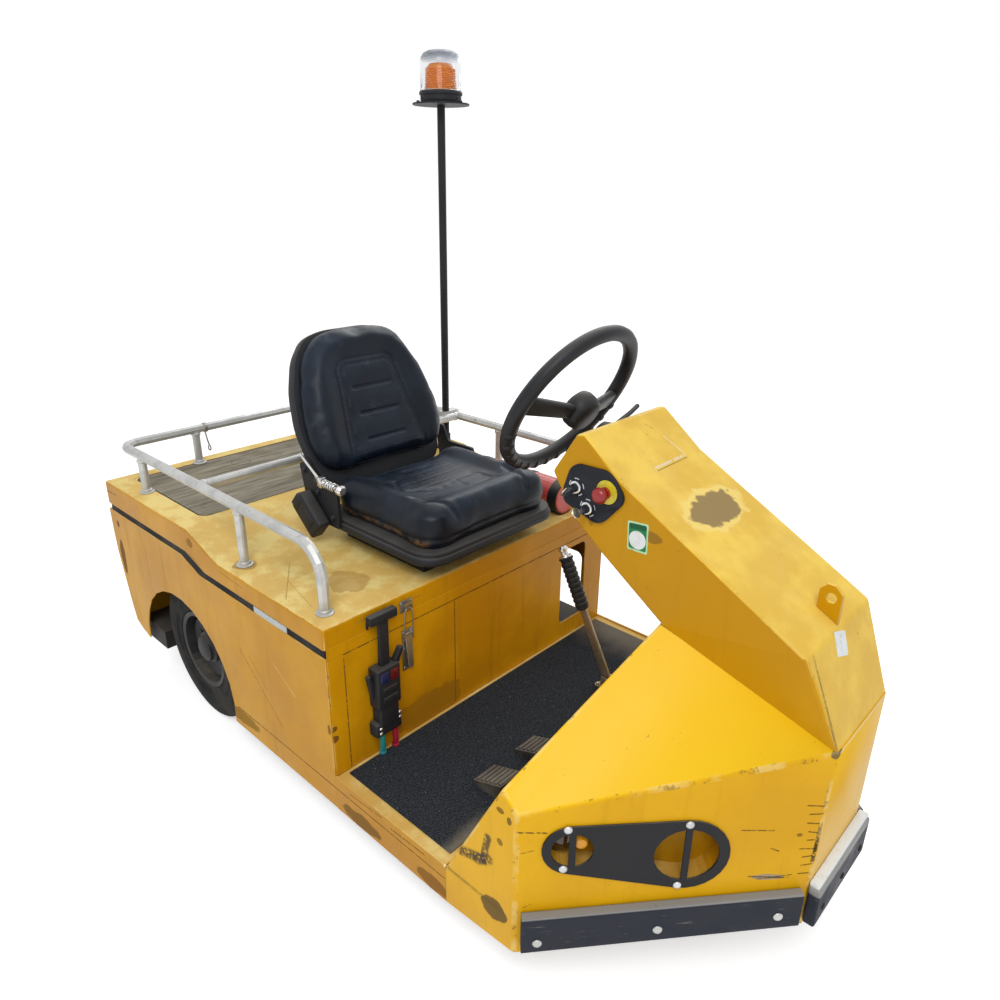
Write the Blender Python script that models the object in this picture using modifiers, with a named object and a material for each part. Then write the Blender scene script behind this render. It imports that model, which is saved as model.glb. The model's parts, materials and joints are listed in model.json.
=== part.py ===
"""Three-wheeled ride-on electric baggage tug: rear battery body under a hinged seat deck,
open footwell, wedge nose over one steered wheel. Metres, +Z up, front at -Y, floor at Z 0."""
import math

import bpy
import bmesh
from mathutils import Matrix, Vector

fit = 0.0003            # gap between faces that touch
sheet = 0.004           # body plate
hoodSheet = 0.003
bodyHalfWidth = 0.48
rearY = 0.93
wallY = -0.112          # front of the battery body
floorZ = 0.165
sillBottomZ = 0.08
wallTopZ = 0.469
rearTopStep = 0.028     # the body's rear top stands this much higher
sealHeight = 0.018
hoodLip = 0.050
deckZ = wallTopZ + sealHeight + hoodLip
deckRise = 0.044
riserFootY = 0.311
riserTopY = 0.454
stepFootY = 0.41        # the seal line's step up
stepTopY = 0.50
noseRearY = -0.462
noseCornerY = -0.636
noseTipY = -1.0
noseTipHalfWidth = 0.114
creaseTipZ = 0.526
cornerZ = 0.410
columnHalfWidth = 0.137
rearAxleY = 0.51
rearTyreRadius = 0.20
frontAxleY = -0.72
frontTyreRadius = 0.185
tyreWidth = 0.10
rearTrackHalf = bodyHalfWidth - 0.07    # centre of a rear tyre
axleRadius = 0.015
axleGap = 0.0005
archHalfWidth = 0.24
archY = rearAxleY + 0.05
archTopZ = 0.35
archSpringZ = 0.12
railRadius = 0.0125
railX = bodyHalfWidth - 0.045
railZ = deckZ + 0.148
railRearY = rearY - 0.05
railFootY = -0.057
railLegRadius = railRadius * 0.9
rearLegX = 0.22
crossBarY = 0.44
mastX = railX - 0.028
mastY = 0.466
mastRadius = 0.011
mastTopZ = 1.565
hingeRadius = 0.007
hingeY = rearY + 0.0115
hingeZ = wallTopZ + rearTopStep + 0.008
wheelTilt = math.radians(60.8)
wheelCentre = Vector((0, -0.338, 0.964))
wheelRadius = 0.166
rimRadius = 0.0155

for old in list(bpy.data.objects):
    bpy.data.objects.remove(old, do_unlink=True)


def collection(name):
    group = bpy.data.collections.new(name)
    bpy.context.scene.collection.children.link(group)
    return group


tug = collection("airport_baggage_tug")
cutters = collection("cutters")


def material(name, color, roughness, metallic=0.0):
    mat = bpy.data.materials.new(name)
    mat.use_nodes = True
    shader = mat.node_tree.nodes["Principled BSDF"]
    shader.inputs["Base Color"].default_value = (*color, 1)
    shader.inputs["Roughness"].default_value = roughness
    shader.inputs["Metallic"].default_value = metallic
    return mat


yellow = material("yellow_paint", (0.80, 0.47, 0.01), 0.45)
blackPaint = material("black_paint", (0.02, 0.02, 0.022), 0.45)
rubber = material("black_rubber", (0.03, 0.03, 0.032), 0.85)
tyreRubber = material("tyre_rubber", (0.035, 0.035, 0.035), 0.9)
tubeMetal = material("galvanised_tube", (0.55, 0.57, 0.60), 0.35, 0.9)
steel = material("bare_steel", (0.50, 0.50, 0.48), 0.35, 1.0)
plywood = material("grey_plywood", (0.36, 0.35, 0.32), 0.7)
vinyl = material("seat_vinyl", (0.03, 0.04, 0.06), 0.4)
darkPlastic = material("dark_plastic", (0.03, 0.03, 0.035), 0.5)
redPaint = material("red_paint", (0.65, 0.10, 0.07), 0.4)
redPlastic = material("red_plastic", (0.45, 0.01, 0.02), 0.35)
amber = material("amber_lens", (0.90, 0.32, 0.02), 0.2)
clear = material("clear_cover", (0.80, 0.82, 0.84), 0.15)
matRubber = material("floor_mat", (0.10, 0.10, 0.11), 0.9)


def place(name, mesh, mat, group=tug):
    obj = bpy.data.objects.new(name, mesh)
    group.objects.link(obj)
    mesh.materials.append(mat)
    return obj


def box(name, low, high, mat, bevel=0.0, group=tug):
    low, high = Vector(low), Vector(high)
    size = high - low
    mesh = bpy.data.meshes.new(name)
    bm = bmesh.new()
    bmesh.ops.create_cube(bm, size=1)
    bmesh.ops.scale(bm, vec=size, verts=bm.verts)
    bm.to_mesh(mesh)
    bm.free()
    obj = place(name, mesh, mat, group)
    obj.location = (low + high) / 2
    if bevel:
        addBevel(obj, bevel)
    return obj


def addBevel(obj, width, segments=2, angle=30):
    mod = obj.modifiers.new("edges", "BEVEL")
    mod.width = width
    mod.segments = segments
    mod.limit_method = "ANGLE"
    mod.angle_limit = math.radians(angle)
    return mod


def rod(name, start, end, radius, mat, segments=20, group=tug, endRadius=None):
    start, end = Vector(start), Vector(end)
    mesh = bpy.data.meshes.new(name)
    bm = bmesh.new()
    bmesh.ops.create_cone(bm, cap_ends=True, segments=segments, radius1=radius,
                          radius2=radius if endRadius is None else endRadius,
                          depth=(end - start).length)
    bm.to_mesh(mesh)
    bm.free()
    mesh.shade_smooth()
    mesh.set_sharp_from_angle(angle=math.radians(40))
    obj = place(name, mesh, mat, group)
    obj.rotation_euler = (end - start).to_track_quat("Z", "Y").to_euler()
    obj.location = (start + end) / 2
    return obj


def turned(name, profile, mat, location, axis, steps=40, group=tug):
    """Profile of (radius, height) points that climbs on its outer side, spun about the axis."""
    mesh = bpy.data.meshes.new(name)
    bm = bmesh.new()
    verts = [bm.verts.new((r, 0, h)) for r, h in reversed(profile)]
    for a, b in zip(verts, verts[1:]):
        bm.edges.new((a, b))
    if profile[0][0] > 0:
        bm.edges.new((verts[-1], verts[0]))
    bm.to_mesh(mesh)
    bm.free()
    obj = place(name, mesh, mat, group)
    spin = obj.modifiers.new("spin", "SCREW")
    spin.steps = steps
    spin.render_steps = steps
    spin.use_merge_vertices = True
    spin.merge_threshold = 0.0001
    obj.rotation_euler = Vector(axis).to_track_quat("Z", "Y").to_euler()
    obj.location = location
    return obj


def plate(name, loops, thickness, mat, frame, group=tug, bevel=0.0):
    """Flat outline with holes. Its own XY is the outline and it is centred on its thickness."""
    curve = bpy.data.curves.new(name, "CURVE")
    curve.dimensions = "2D"
    curve.fill_mode = "BOTH"
    curve.extrude = thickness / 2
    curve.bevel_depth = bevel
    for loop in loops:
        spline = curve.splines.new("POLY")
        spline.points.add(len(loop) - 1)
        for point, (x, y) in zip(spline.points, loop):
            point.co = (x, y, 0, 1)
        spline.use_cyclic_u = True
    obj = bpy.data.objects.new(name, curve)
    group.objects.link(obj)
    curve.materials.append(mat)
    obj.matrix_world = frame
    return obj


def tube(name, points, radius, mat, group=tug, resolution=2):
    curve = bpy.data.curves.new(name, "CURVE")
    curve.dimensions = "3D"
    curve.bevel_depth = radius
    curve.bevel_resolution = resolution
    curve.use_fill_caps = True
    spline = curve.splines.new("POLY")
    spline.points.add(len(points) - 1)
    for point, place3 in zip(spline.points, points):
        point.co = (*place3, 1)
    obj = bpy.data.objects.new(name, curve)
    group.objects.link(obj)
    curve.materials.append(mat)
    return obj


def asMesh(obj):
    """The curve object as a welded mesh object of the same name."""
    bpy.context.view_layer.update()
    evaluated = obj.evaluated_get(bpy.context.evaluated_depsgraph_get())
    mesh = bpy.data.meshes.new_from_object(evaluated)
    bm = bmesh.new()
    bm.from_mesh(mesh)
    bmesh.ops.remove_doubles(bm, verts=bm.verts, dist=0.00001)
    bm.to_mesh(mesh)
    bm.free()
    name = obj.name
    group = obj.users_collection[0]
    matrix = obj.matrix_world.copy()
    bpy.data.objects.remove(obj, do_unlink=True)
    made = bpy.data.objects.new(name, mesh)
    group.objects.link(made)
    made.matrix_world = matrix
    return made


def combine(obj, tools, operation):
    for tool in tools:
        tool.hide_render = True
        tool.display_type = "WIRE"
        mod = obj.modifiers.new(tool.name, "BOOLEAN")
        mod.operation = operation
        mod.solver = "EXACT"
        mod.object = tool
    return obj


def yzFrame(x):
    """Outline coordinates are (y, z); thickness runs along X."""
    return Matrix.Translation((x, 0, 0)) @ Matrix(((0, 0, 1, 0), (1, 0, 0, 0), (0, 1, 0, 0), (0, 0, 0, 1)))


def xzFrame(y):
    return Matrix.Translation((0, y, 0)) @ Matrix.Rotation(math.radians(90), 4, "X")


def arc(centre, radius, start, end, count, radiusB=None):
    radiusB = radius if radiusB is None else radiusB
    steps = [math.radians(start + (end - start) * i / count) for i in range(count + 1)]
    return [(centre[0] + radius * math.cos(a), centre[1] + radiusB * math.sin(a)) for a in steps]


def roundedRect(low, high, radius, count=4):
    (x0, y0), (x1, y1) = low, high
    corners = ((x1 - radius, y0 + radius, -90), (x1 - radius, y1 - radius, 0),
               (x0 + radius, y1 - radius, 90), (x0 + radius, y0 + radius, 180))
    return [p for x, y, a in corners for p in arc((x, y), radius, a, a + 90, count)]


def surface(name, verts, faces, thickness, mat, bevel=0.0):
    """Open sheet of hand-set corners, thickened inwards."""
    mesh = bpy.data.meshes.new(name)
    bm = bmesh.new()
    made = [bm.verts.new(v) for v in verts]
    for face in faces:
        bm.faces.new([made[i] for i in face])
    bmesh.ops.recalc_face_normals(bm, faces=bm.faces)
    bm.to_mesh(mesh)
    bm.free()
    obj = place(name, mesh, mat)
    if bevel:
        addBevel(obj, bevel, angle=18)
    solid = obj.modifiers.new("thickness", "SOLIDIFY")
    solid.thickness = thickness
    solid.offset = -1
    solid.use_even_offset = True
    return obj


sides = (("right", -1), ("left", 1))

# Floor and frame
insideHalf = bodyHalfWidth - sheet - fit
floorFrontY = noseRearY + sheet + 0.002
wheelWellX = rearTrackHalf - tyreWidth / 2 - 0.02
wellFront = rearAxleY - rearTyreRadius - 0.02
wellRear = rearAxleY + rearTyreRadius + 0.02
frameTopZ = floorZ - sheet - fit
frameDepth = 0.055


def mirrored(points):
    return points + [(-x, y) for x, y in reversed(points)]


framePlan = mirrored([(insideHalf, floorFrontY), (insideHalf, wellFront),
                      (wheelWellX, wellFront), (wheelWellX, wellRear),
                      (insideHalf - 0.012, wellRear), (insideHalf - 0.012, rearY - 0.062)])
plate("main_frame", [framePlan], frameDepth, blackPaint,
      Matrix.Translation((0, 0, frameTopZ - frameDepth / 2)))

floor = box("floor_plate", (-insideHalf, floorFrontY, floorZ - sheet), (insideHalf, wallY - fit, floorZ),
            yellow)
matThickness = 0.004
matEdge = 0.025
box("floor_mat", (-insideHalf + matEdge, floorFrontY + 0.012, floorZ + fit),
    (insideHalf - matEdge, wallY - 0.012, floorZ + fit + matThickness), matRubber, bevel=0.001)
sills = []
for name, side in sides:
    outer, inner = side * bodyHalfWidth, side * insideHalf
    low = (min(outer, inner), noseRearY + fit, sillBottomZ)
    high = (max(outer, inner), wallY - fit, floorZ + 0.004)
    sills.append(box(f"side_sill_{name}", low, high, yellow, group=cutters))
combine(floor, sills, "UNION")

# Battery body
rearTopZ = wallTopZ + rearTopStep
rearSlope = [(rearY - 0.052, 0.150), (rearY - 0.040, 0.193), (rearY - 0.005, 0.36), (rearY, 0.43)]
archOutline = arc((archY, archSpringZ), archHalfWidth, 189, 0, 14, archTopZ - archSpringZ)
sideOutline = ([(wallY, sillBottomZ), (archOutline[0][0], sillBottomZ)] + archOutline
               + [(rearY - 0.085, 0.133)] + rearSlope
               + [(rearY, rearTopZ), (stepTopY, rearTopZ), (stepFootY, wallTopZ), (wallY, wallTopZ)])
sideWindow = roundedRect((-0.045, 0.14), (0.075, 0.35), 0.02)
for name, side in sides:
    loops = [sideOutline] if side < 0 else [sideOutline, sideWindow]
    plate(f"side_panel_{name}", loops, sheet, yellow, yzFrame(side * (bodyHalfWidth - sheet / 2)))

wallWindow = roundedRect((0.292, 0.215), (0.398, 0.442), 0.015)
wallOutline = [(-insideHalf, floorZ), (insideHalf, floorZ), (insideHalf, wallTopZ), (-insideHalf, wallTopZ)]
plate("battery_wall", [wallOutline, wallWindow], sheet, yellow, xzFrame(wallY + sheet / 2))

rearOutline = rearSlope + [(rearY, rearTopZ), (rearY - sheet, rearTopZ)]
rearOutline += [(y - sheet, z + 0.002) for y, z in reversed(rearSlope)]
plate("rear_panel", [rearOutline], 2 * insideHalf, yellow, yzFrame(0))

batteryTop = 0.44
box("battery", (-0.27, wallY + 0.012, frameTopZ + fit), (0.27, 0.27, batteryTop), darkPlastic, bevel=0.006)
motorHalf = 0.17
axleHousingRadius = rearTyreRadius - frameTopZ - fit
housing = rod("drive_unit", (-wheelWellX + 0.03, rearAxleY, rearTyreRadius),
              (wheelWellX - 0.03, rearAxleY, rearTyreRadius), axleHousingRadius, blackPaint, 24)
combine(housing, [
    box("motor_block", (-motorHalf, 0.40, frameTopZ + fit), (motorHalf, 0.66, 0.33), blackPaint,
        group=cutters),
    rod("axle_shafts", (-rearTrackHalf - 0.035, rearAxleY, rearTyreRadius),
        (rearTrackHalf + 0.035, rearAxleY, rearTyreRadius), axleRadius, blackPaint, 24, cutters)], "UNION")

# Wheels
rimWidth = 0.086
beadRadius = 0.102


def wheel(name, centreX, centreY, tyreRadius, outward, hubLength, group=tug):
    half, halfRim = tyreWidth / 2, rimWidth / 2
    bead = beadRadius + fit
    shoulder = 0.022
    tyre = [(bead, -halfRim), (bead + 0.008, -halfRim), (bead + 0.03, -half)]
    tyre += [(tyreRadius - shoulder + r, -half + shoulder + h) for r, h in
             [(shoulder * math.cos(a), shoulder * math.sin(a)) for a in
              [math.radians(d) for d in (-90, -60, -30, 0)]]]
    tyre += [(r, -h) for r, h in reversed(tyre)]
    turned(f"{name}_tyre", tyre, tyreRubber, (centreX, centreY, tyreRadius), (1, 0, 0), 48)
    bore = axleRadius + axleGap
    disc = 0.012
    rim = [(bore, -hubLength), (0.038, -hubLength), (0.038, disc - 0.006), (0.085, disc + 0.006),
           (0.094, 0.0), (0.094, -halfRim), (beadRadius + 0.006, -halfRim - 0.004),
           (beadRadius + 0.006, -halfRim - fit), (beadRadius, -halfRim - fit), (beadRadius, halfRim + fit),
           (beadRadius + 0.006, halfRim + fit), (beadRadius + 0.006, halfRim + 0.004),
           (0.096, halfRim + 0.002), (0.096, disc), (0.085, disc + 0.012), (0.038, disc),
           (0.034, 0.043), (bore, 0.043)]
    return turned(f"{name}_rim", rim, blackPaint, (centreX, centreY, tyreRadius), (outward, 0, 0), 32)


for name, side in sides:
    wheel(f"rear_{name}", side * rearTrackHalf, rearAxleY, rearTyreRadius, side, 0.04)

# Nose
columnFootY = -0.668
columnFootZ = 0.640
noseLowZ = 0.095
tipLowZ = 0.150
toeTopY, toeTopZ = -0.600, 0.443


def bothSides(points):
    return [(-x, y, z) for x, y, z in points] + [(x, y, z) for x, y, z in points]


nosePoints = bothSides([
    (bodyHalfWidth, noseRearY, sillBottomZ),            # 0
    (bodyHalfWidth, noseRearY, floorZ + 0.005),         # 1
    (bodyHalfWidth, toeTopY, toeTopZ),                  # 2
    (bodyHalfWidth, noseCornerY, cornerZ),              # 3
    (bodyHalfWidth, noseCornerY, noseLowZ),             # 4
    (noseTipHalfWidth, noseTipY, creaseTipZ),           # 5
    (noseTipHalfWidth, noseTipY, tipLowZ),              # 6
    (columnHalfWidth, columnFootY, columnFootZ)])       # 7
half = len(nosePoints) // 2
noseFaces = [(0, 1, 2, 3, 4), (2, 7, 3), (7, 5, 3), (3, 5, 6, 4)]
noseFaces += [tuple(half + corner for corner in reversed(face)) for face in noseFaces]
noseFaces += [(5, half + 5, half + 6, 6), (1, half + 1, half + 2, 2), (2, half + 2, half + 7, 7)]
nose = surface("nose_shell", nosePoints, noseFaces, sheet, yellow)

angleRun = Vector((bodyHalfWidth - noseTipHalfWidth, noseTipY - noseCornerY, 0))
angleLength = angleRun.length


def noseFrame(side, offset):
    """Plan of an angled nose face: x along it from the outer corner, y up, z outwards."""
    along = Vector((-side * angleRun.x, angleRun.y, 0)).normalized()
    out = Vector((side * -angleRun.y, -angleRun.x, 0)).normalized()
    origin = Vector((side * bodyHalfWidth, noseCornerY, 0)) + out * offset
    if side < 0:
        return Matrix.Translation(origin) @ Matrix((along, (0, 0, 1), out)).transposed().to_4x4()
    return Matrix.Translation(origin) @ Matrix((-along, (0, 0, 1), out)).transposed().to_4x4()


def alongNose(side, points):
    return points if side < 0 else [(-s, z) for s, z in reversed(points)]


bumperThickness = 0.020
guardThickness = 0.004
lamps = (("indicator", 0.095, 0.337, 0.036, 0.052), ("headlamp", 0.290, 0.322, 0.056, 0.075))
bumperEnd = angleLength - 0.016
bumper = [(0.012, 0.115), (bumperEnd, 0.166), (bumperEnd, 0.240), (0.012, 0.197)]
pocketDepth = 0.042
pocketWall = 0.003
pocketInset = 0.010
(_, s1, z1, _, r1), (_, s2, z2, _, r2) = lamps
distance = math.hypot(s2 - s1, z2 - z1)
lean = math.degrees(math.atan2(z2 - z1, s2 - s1))


def hull(shrink):
    """Outline of a belt round both lamps."""
    spread = math.degrees(math.acos((r1 - r2) / distance))
    return (arc((s2, z2), r2 - shrink, lean - spread, lean + spread, 14)
            + arc((s1, z1), r1 - shrink, lean + spread, lean + 360 - spread, 12))


for name, side in sides:
    plate(f"corner_bumper_{name}", [alongNose(side, bumper)], bumperThickness, rubber,
          noseFrame(side, bumperThickness / 2 + fit))
    holes = []
    for _, s, z, r, _ in lamps:
        bar = math.degrees(math.asin(0.006 / r))
        holes += [arc((s, z), r, -90 + bar, 90 - bar, 10), arc((s, z), r, 90 + bar, 270 - bar, 10)]
    plate(f"lamp_guard_{name}", [alongNose(side, loop) for loop in [hull(0)] + holes], guardThickness,
          blackPaint, noseFrame(side, guardThickness / 2 + fit))
    pocketForms = {}
    for form, shrink, low, high in (("pocket", pocketInset, -pocketDepth, -fit),
                                    ("hollow", pocketInset + pocketWall, pocketWall - pocketDepth, 0.01),
                                    ("opening", pocketInset - fit, -0.02, 0.01)):
        group = tug if form == "pocket" else cutters
        formPlate = plate(f"lamp_{form}_{name}", [alongNose(side, hull(shrink))], high - low, yellow,
                           noseFrame(side, (high + low) / 2), group)
        pocketForms[form] = asMesh(formPlate)
    combine(pocketForms["pocket"], [pocketForms["hollow"]], "DIFFERENCE")
    combine(nose, [pocketForms["opening"]], "DIFFERENCE")

box("front_bumper", (-noseTipHalfWidth - 0.006, noseTipY - fit - 0.022, 0.160),
    (noseTipHalfWidth + 0.006, noseTipY - fit, 0.245), rubber, bevel=0.004)

# Steering column
columnLift = 0.0009     # the column's foot stands this far off the nose
columnBase = [(columnHalfWidth, columnFootY, columnFootZ), (noseTipHalfWidth, noseTipY, creaseTipZ)]
columnBreak = (-0.570, 0.882)
columnBrow = (-0.932, 0.685)
columnProfile = [(-0.532, 0.733), (-0.460, 0.789), (-0.408, 0.866), (-0.461, 0.950), (-0.478, 0.954),
                 columnBreak, columnBrow]
columnPoints = bothSides([(x, y, z + columnLift) for x, y, z in columnBase]
                         + [(columnHalfWidth, y, z) for y, z in columnProfile])
half = len(columnPoints) // 2
strip = [0] + list(range(2, half)) + [1]
columnFaces = [(0,) + tuple(range(2, half)), (0, half - 1, 1)]
columnFaces += [tuple(half + corner for corner in reversed(face)) for face in columnFaces]
columnFaces += [(a, b, half + b, half + a) for a, b in zip(strip, strip[1:])]
surface("steering_column", columnPoints, columnFaces, sheet, yellow, bevel=0.006)


def columnTop(y):
    """Just above the column's sloped top."""
    rise = (columnBreak[1] - columnBrow[1]) / (columnBreak[0] - columnBrow[0])
    return columnBrow[1] + (y - columnBrow[0]) * rise + fit


tabFront, tabRear = -0.928, -0.888
plate("lifting_tab", [[(tabFront, columnTop(tabFront)), (tabRear, columnTop(tabRear)), (tabRear, 0.745),
                       (tabRear - 0.012, 0.757), (tabFront + 0.014, 0.757), (tabFront, 0.743)],
                      arc((-0.910, 0.733), 0.009, 0, 330, 11)], 0.008, yellow, yzFrame(0))

panelX = -columnHalfWidth - fit
panelOutline = [(-0.444, 0.815), (-0.440, 0.838), (-0.455, 0.885), (-0.470, 0.897), (-0.535, 0.899),
                (-0.552, 0.890), (-0.575, 0.862), (-0.575, 0.846), (-0.533, 0.797), (-0.515, 0.793)]
controls = asMesh(plate("control_plate", [panelOutline], 0.006, darkPlastic, yzFrame(panelX - 0.003)))
controlX = panelX - 0.006 - fit
stopPlace = (-0.535, 0.857)
turned("stop_button", [(0, 0), (0.024, 0), (0.024, 0.002), (0.008, 0.002), (0.008, 0.014), (0.014, 0.016),
                       (0.015, 0.023), (0.012, 0.028), (0, 0.030)], redPlastic, (controlX, *stopPlace),
       (-1, 0, 0), 24)
switchProfile = [(0, -0.003), (0.011, -0.003), (0.011, 0.005), (0.008, 0.007), (0.008, 0.016), (0, 0.016)]
switches = [turned(f"key_switch_{index}", switchProfile, steel, (controlX, *spot), (-1, 0, 0), 20, cutters)
            for index, spot in enumerate(((-0.472, 0.852), (-0.500, 0.818)))]
combine(controls, switches, "UNION")

# Steering wheel
wheelAxis = Vector((0, math.sin(wheelTilt), math.cos(wheelTilt)))
dish = 0.055
hubBack = wheelCentre - wheelAxis * dish
endFaceDistance = 0.112
bossStart = wheelCentre - wheelAxis * endFaceDistance
shaftRadius = 0.012
boreRadius = shaftRadius + axleGap
bossProfile = [(boreRadius, 0.0), (0.026, 0.0), (0.026, 0.010), (0.019, 0.022), (boreRadius, 0.022)]
boss = turned("column_boss", bossProfile, darkPlastic, bossStart + wheelAxis * 0.002, wheelAxis, 28)
steering = turned("steering_wheel", arc((wheelRadius, 0), rimRadius, -90, 240, 11), darkPlastic, wheelCentre,
                  wheelAxis, 48)
acrossWheel = Vector((1, 0, 0))
upWheel = wheelAxis.cross(acrossWheel)
spokes = []
for index, degrees in enumerate((170, -10)):
    angle = math.radians(degrees)
    direction = acrossWheel * math.cos(angle) + upWheel * math.sin(angle)
    start = hubBack + wheelAxis * 0.016 + direction * 0.02
    end = wheelCentre + direction * wheelRadius
    spokes.append(rod(f"spoke_{index}", start, end, 0.012, darkPlastic, 12, cutters, 0.010))
hub = turned("hub_form", [(0, 0), (0.024, 0), (0.030, 0.008), (0.032, 0.030), (0.022, 0.040), (0, 0.043)],
             darkPlastic, hubBack, wheelAxis, 28, cutters)
shaft = rod("shaft_form", bossStart + wheelAxis * 0.008, hubBack + wheelAxis * 0.01, shaftRadius,
            darkPlastic, 28, cutters)
combine(steering, [hub, shaft] + spokes, "UNION")

stalkRoot = bossStart + wheelAxis * 0.014
stalk = asMesh(tube("indicator_stalk", [(0.020, *stalkRoot.yz), (0.07, -0.418, 0.925), (0.12, -0.408, 0.930),
                                        (0.155, -0.400, 0.935)], 0.005, steel, cutters))
combine(boss, [stalk], "UNION")

# Hood and deck
deckTop = deckZ + deckRise
hoodRearZ = rearTopZ + sealHeight
lipStepY = stepFootY - 0.03, stepTopY - 0.03
hoodSide = [(wallY, deckZ - hoodLip), (wallY, deckZ), (riserFootY, deckZ), (riserTopY, deckTop),
            (rearY, deckTop), (rearY, hoodRearZ), (lipStepY[1], hoodRearZ), (lipStepY[0], deckZ - hoodLip)]
hoodPoints = bothSides([(bodyHalfWidth, y, z) for y, z in hoodSide])
half = len(hoodSide)
hoodFaces = [tuple(range(half)), tuple(range(half, 2 * half))]
hoodFaces += [(i, i + 1, half + i + 1, half + i) for i in range(5)]
hood = surface("hood", hoodPoints, hoodFaces, hoodSheet, yellow, bevel=0.008)

trayX, trayFrontY, trayRearY = bodyHalfWidth - 0.0645, riserTopY + 0.036, rearY - 0.045
trayGap = 0.0008
traySheet = 0.009
legNotch = railLegRadius + 0.003


def legNotches(clearance):
    """Blocks round the feet of the rail's rear legs, open to the tray's rear edge."""
    reach = legNotch + clearance
    return [box(f"leg_notch_{name}", (side * rearLegX - reach, railRearY - reach, deckTop - 0.03),
                (side * rearLegX + reach, trayRearY + 0.01, deckTop + 0.03), plywood, group=cutters)
            for name, side in sides]


trayHole = box("tray_hole", (-trayX, trayFrontY, deckTop - 0.02), (trayX, trayRearY, deckTop + 0.02), plywood,
               group=cutters)
combine(trayHole, legNotches(0), "DIFFERENCE")
combine(hood, [trayHole], "DIFFERENCE")
tray = box("cargo_tray", (-trayX + trayGap, trayFrontY + trayGap, deckTop - traySheet),
           (trayX - trayGap, trayRearY - trayGap, deckTop - 0.001), plywood)
combine(tray, legNotches(trayGap), "DIFFERENCE")
sealThickness = 0.012
sealTop = deckZ - hoodLip - fit
sealRearY = rearY - 0.02
sealOutline = [(wallY + 0.001, wallTopZ + fit), (stepFootY, wallTopZ + fit), (stepTopY, rearTopZ + fit),
               (sealRearY, rearTopZ + fit), (sealRearY, hoodRearZ - fit), (lipStepY[1], hoodRearZ - fit),
               (lipStepY[0], sealTop), (wallY + 0.001, sealTop)]
sealX = bodyHalfWidth - 0.001 - sealThickness / 2
seal = box("deck_seal", (-sealX, wallY + 0.001, wallTopZ + fit), (sealX, wallY + 0.013, sealTop), rubber)
combine(seal, [asMesh(plate(f"side_seal_{name}", [sealOutline], sealThickness, rubber, yzFrame(side * sealX),
                            cutters)) for name, side in sides], "UNION")

# Hinges
barrelLength = 0.05
barrelX = 0.30
hingeLeafY = rearY + fit
for part, zFar, shift in (("lower", hingeZ - 0.045, -barrelLength), ("upper", hingeZ + 0.055, 0)):
    zNear = hingeZ - hingeRadius - 0.002 if part == "lower" else hingeZ + hingeRadius + 0.003
    leaf = box(f"hinge_{part}", (-barrelX - barrelLength, hingeLeafY, min(zNear, zFar)),
               (barrelX + barrelLength, hingeLeafY + 0.003, max(zNear, zFar)), steel)
    knuckles = []
    for name, side in sides:
        x0 = side * barrelX + shift
        x1 = x0 + barrelLength - fit
        knuckles.append(rod(f"barrel_{part}_{name}", (x0, hingeY, hingeZ), (x1, hingeY, hingeZ), hingeRadius,
                            steel, 16, cutters))
        knuckles.append(box(f"web_{part}_{name}", (x0, hingeLeafY, min(zFar, hingeZ)),
                            (x1, hingeY - hingeRadius * 0.35, max(zFar, hingeZ)), steel, group=cutters))
    combine(leaf, knuckles, "UNION")

# Rails
deckFootZ = deckZ + fit
bend = 0.045


def bendPoints(before, corner, after, radius, count=6):
    """Round corner between two straight runs, as points."""
    a = (Vector(before) - Vector(corner)).normalized()
    b = (Vector(after) - Vector(corner)).normalized()
    half = a.angle(b) / 2
    reach = radius / math.tan(half)
    start, end = Vector(corner) + a * reach, Vector(corner) + b * reach
    middle = Vector(corner) + (a + b).normalized() * radius / math.sin(half)
    u, v = start - middle, end - middle
    sweep = u.angle(v)
    shares = [i / count for i in range(count + 1)]
    return [middle + (u * math.sin(sweep * (1 - share)) + v * math.sin(sweep * share)) / math.sin(sweep)
            for share in shares]


corners = [(-railX, railFootY, deckFootZ), (-railX, railFootY, railZ), (-railX, railRearY, railZ),
           (railX, railRearY, railZ), (railX, railFootY, railZ), (railX, railFootY, deckFootZ)]
railPoints = [Vector(corners[0])]
for before, corner, after, radius in ((corners[0], corners[1], corners[2], 0.075),
                                      (corners[1], corners[2], corners[3], bend),
                                      (corners[2], corners[3], corners[4], bend),
                                      (corners[3], corners[4], corners[5], 0.075)):
    railPoints += bendPoints(before, corner, after, radius)
railPoints.append(Vector(corners[-1]))
rail = asMesh(tube("luggage_rail", railPoints, railRadius, tubeMetal))
legs = [rod("cross_bar", (-railX, crossBarY, railZ), (railX, crossBarY, railZ), railRadius * 0.96, tubeMetal,
            14, cutters)]
for name, side in sides:
    for stand, x, y, footZ in (("mid", railX, 0.26, deckZ + fit), ("back", railX, 0.757, deckTop + fit),
                               ("rear", rearLegX, railRearY, deckTop + fit)):
        legs.append(rod(f"leg_{stand}_{name}", (side * x, y, footZ), (side * x, y, railZ), railLegRadius,
                        tubeMetal, 14, cutters))
combine(rail, legs, "UNION")

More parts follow.
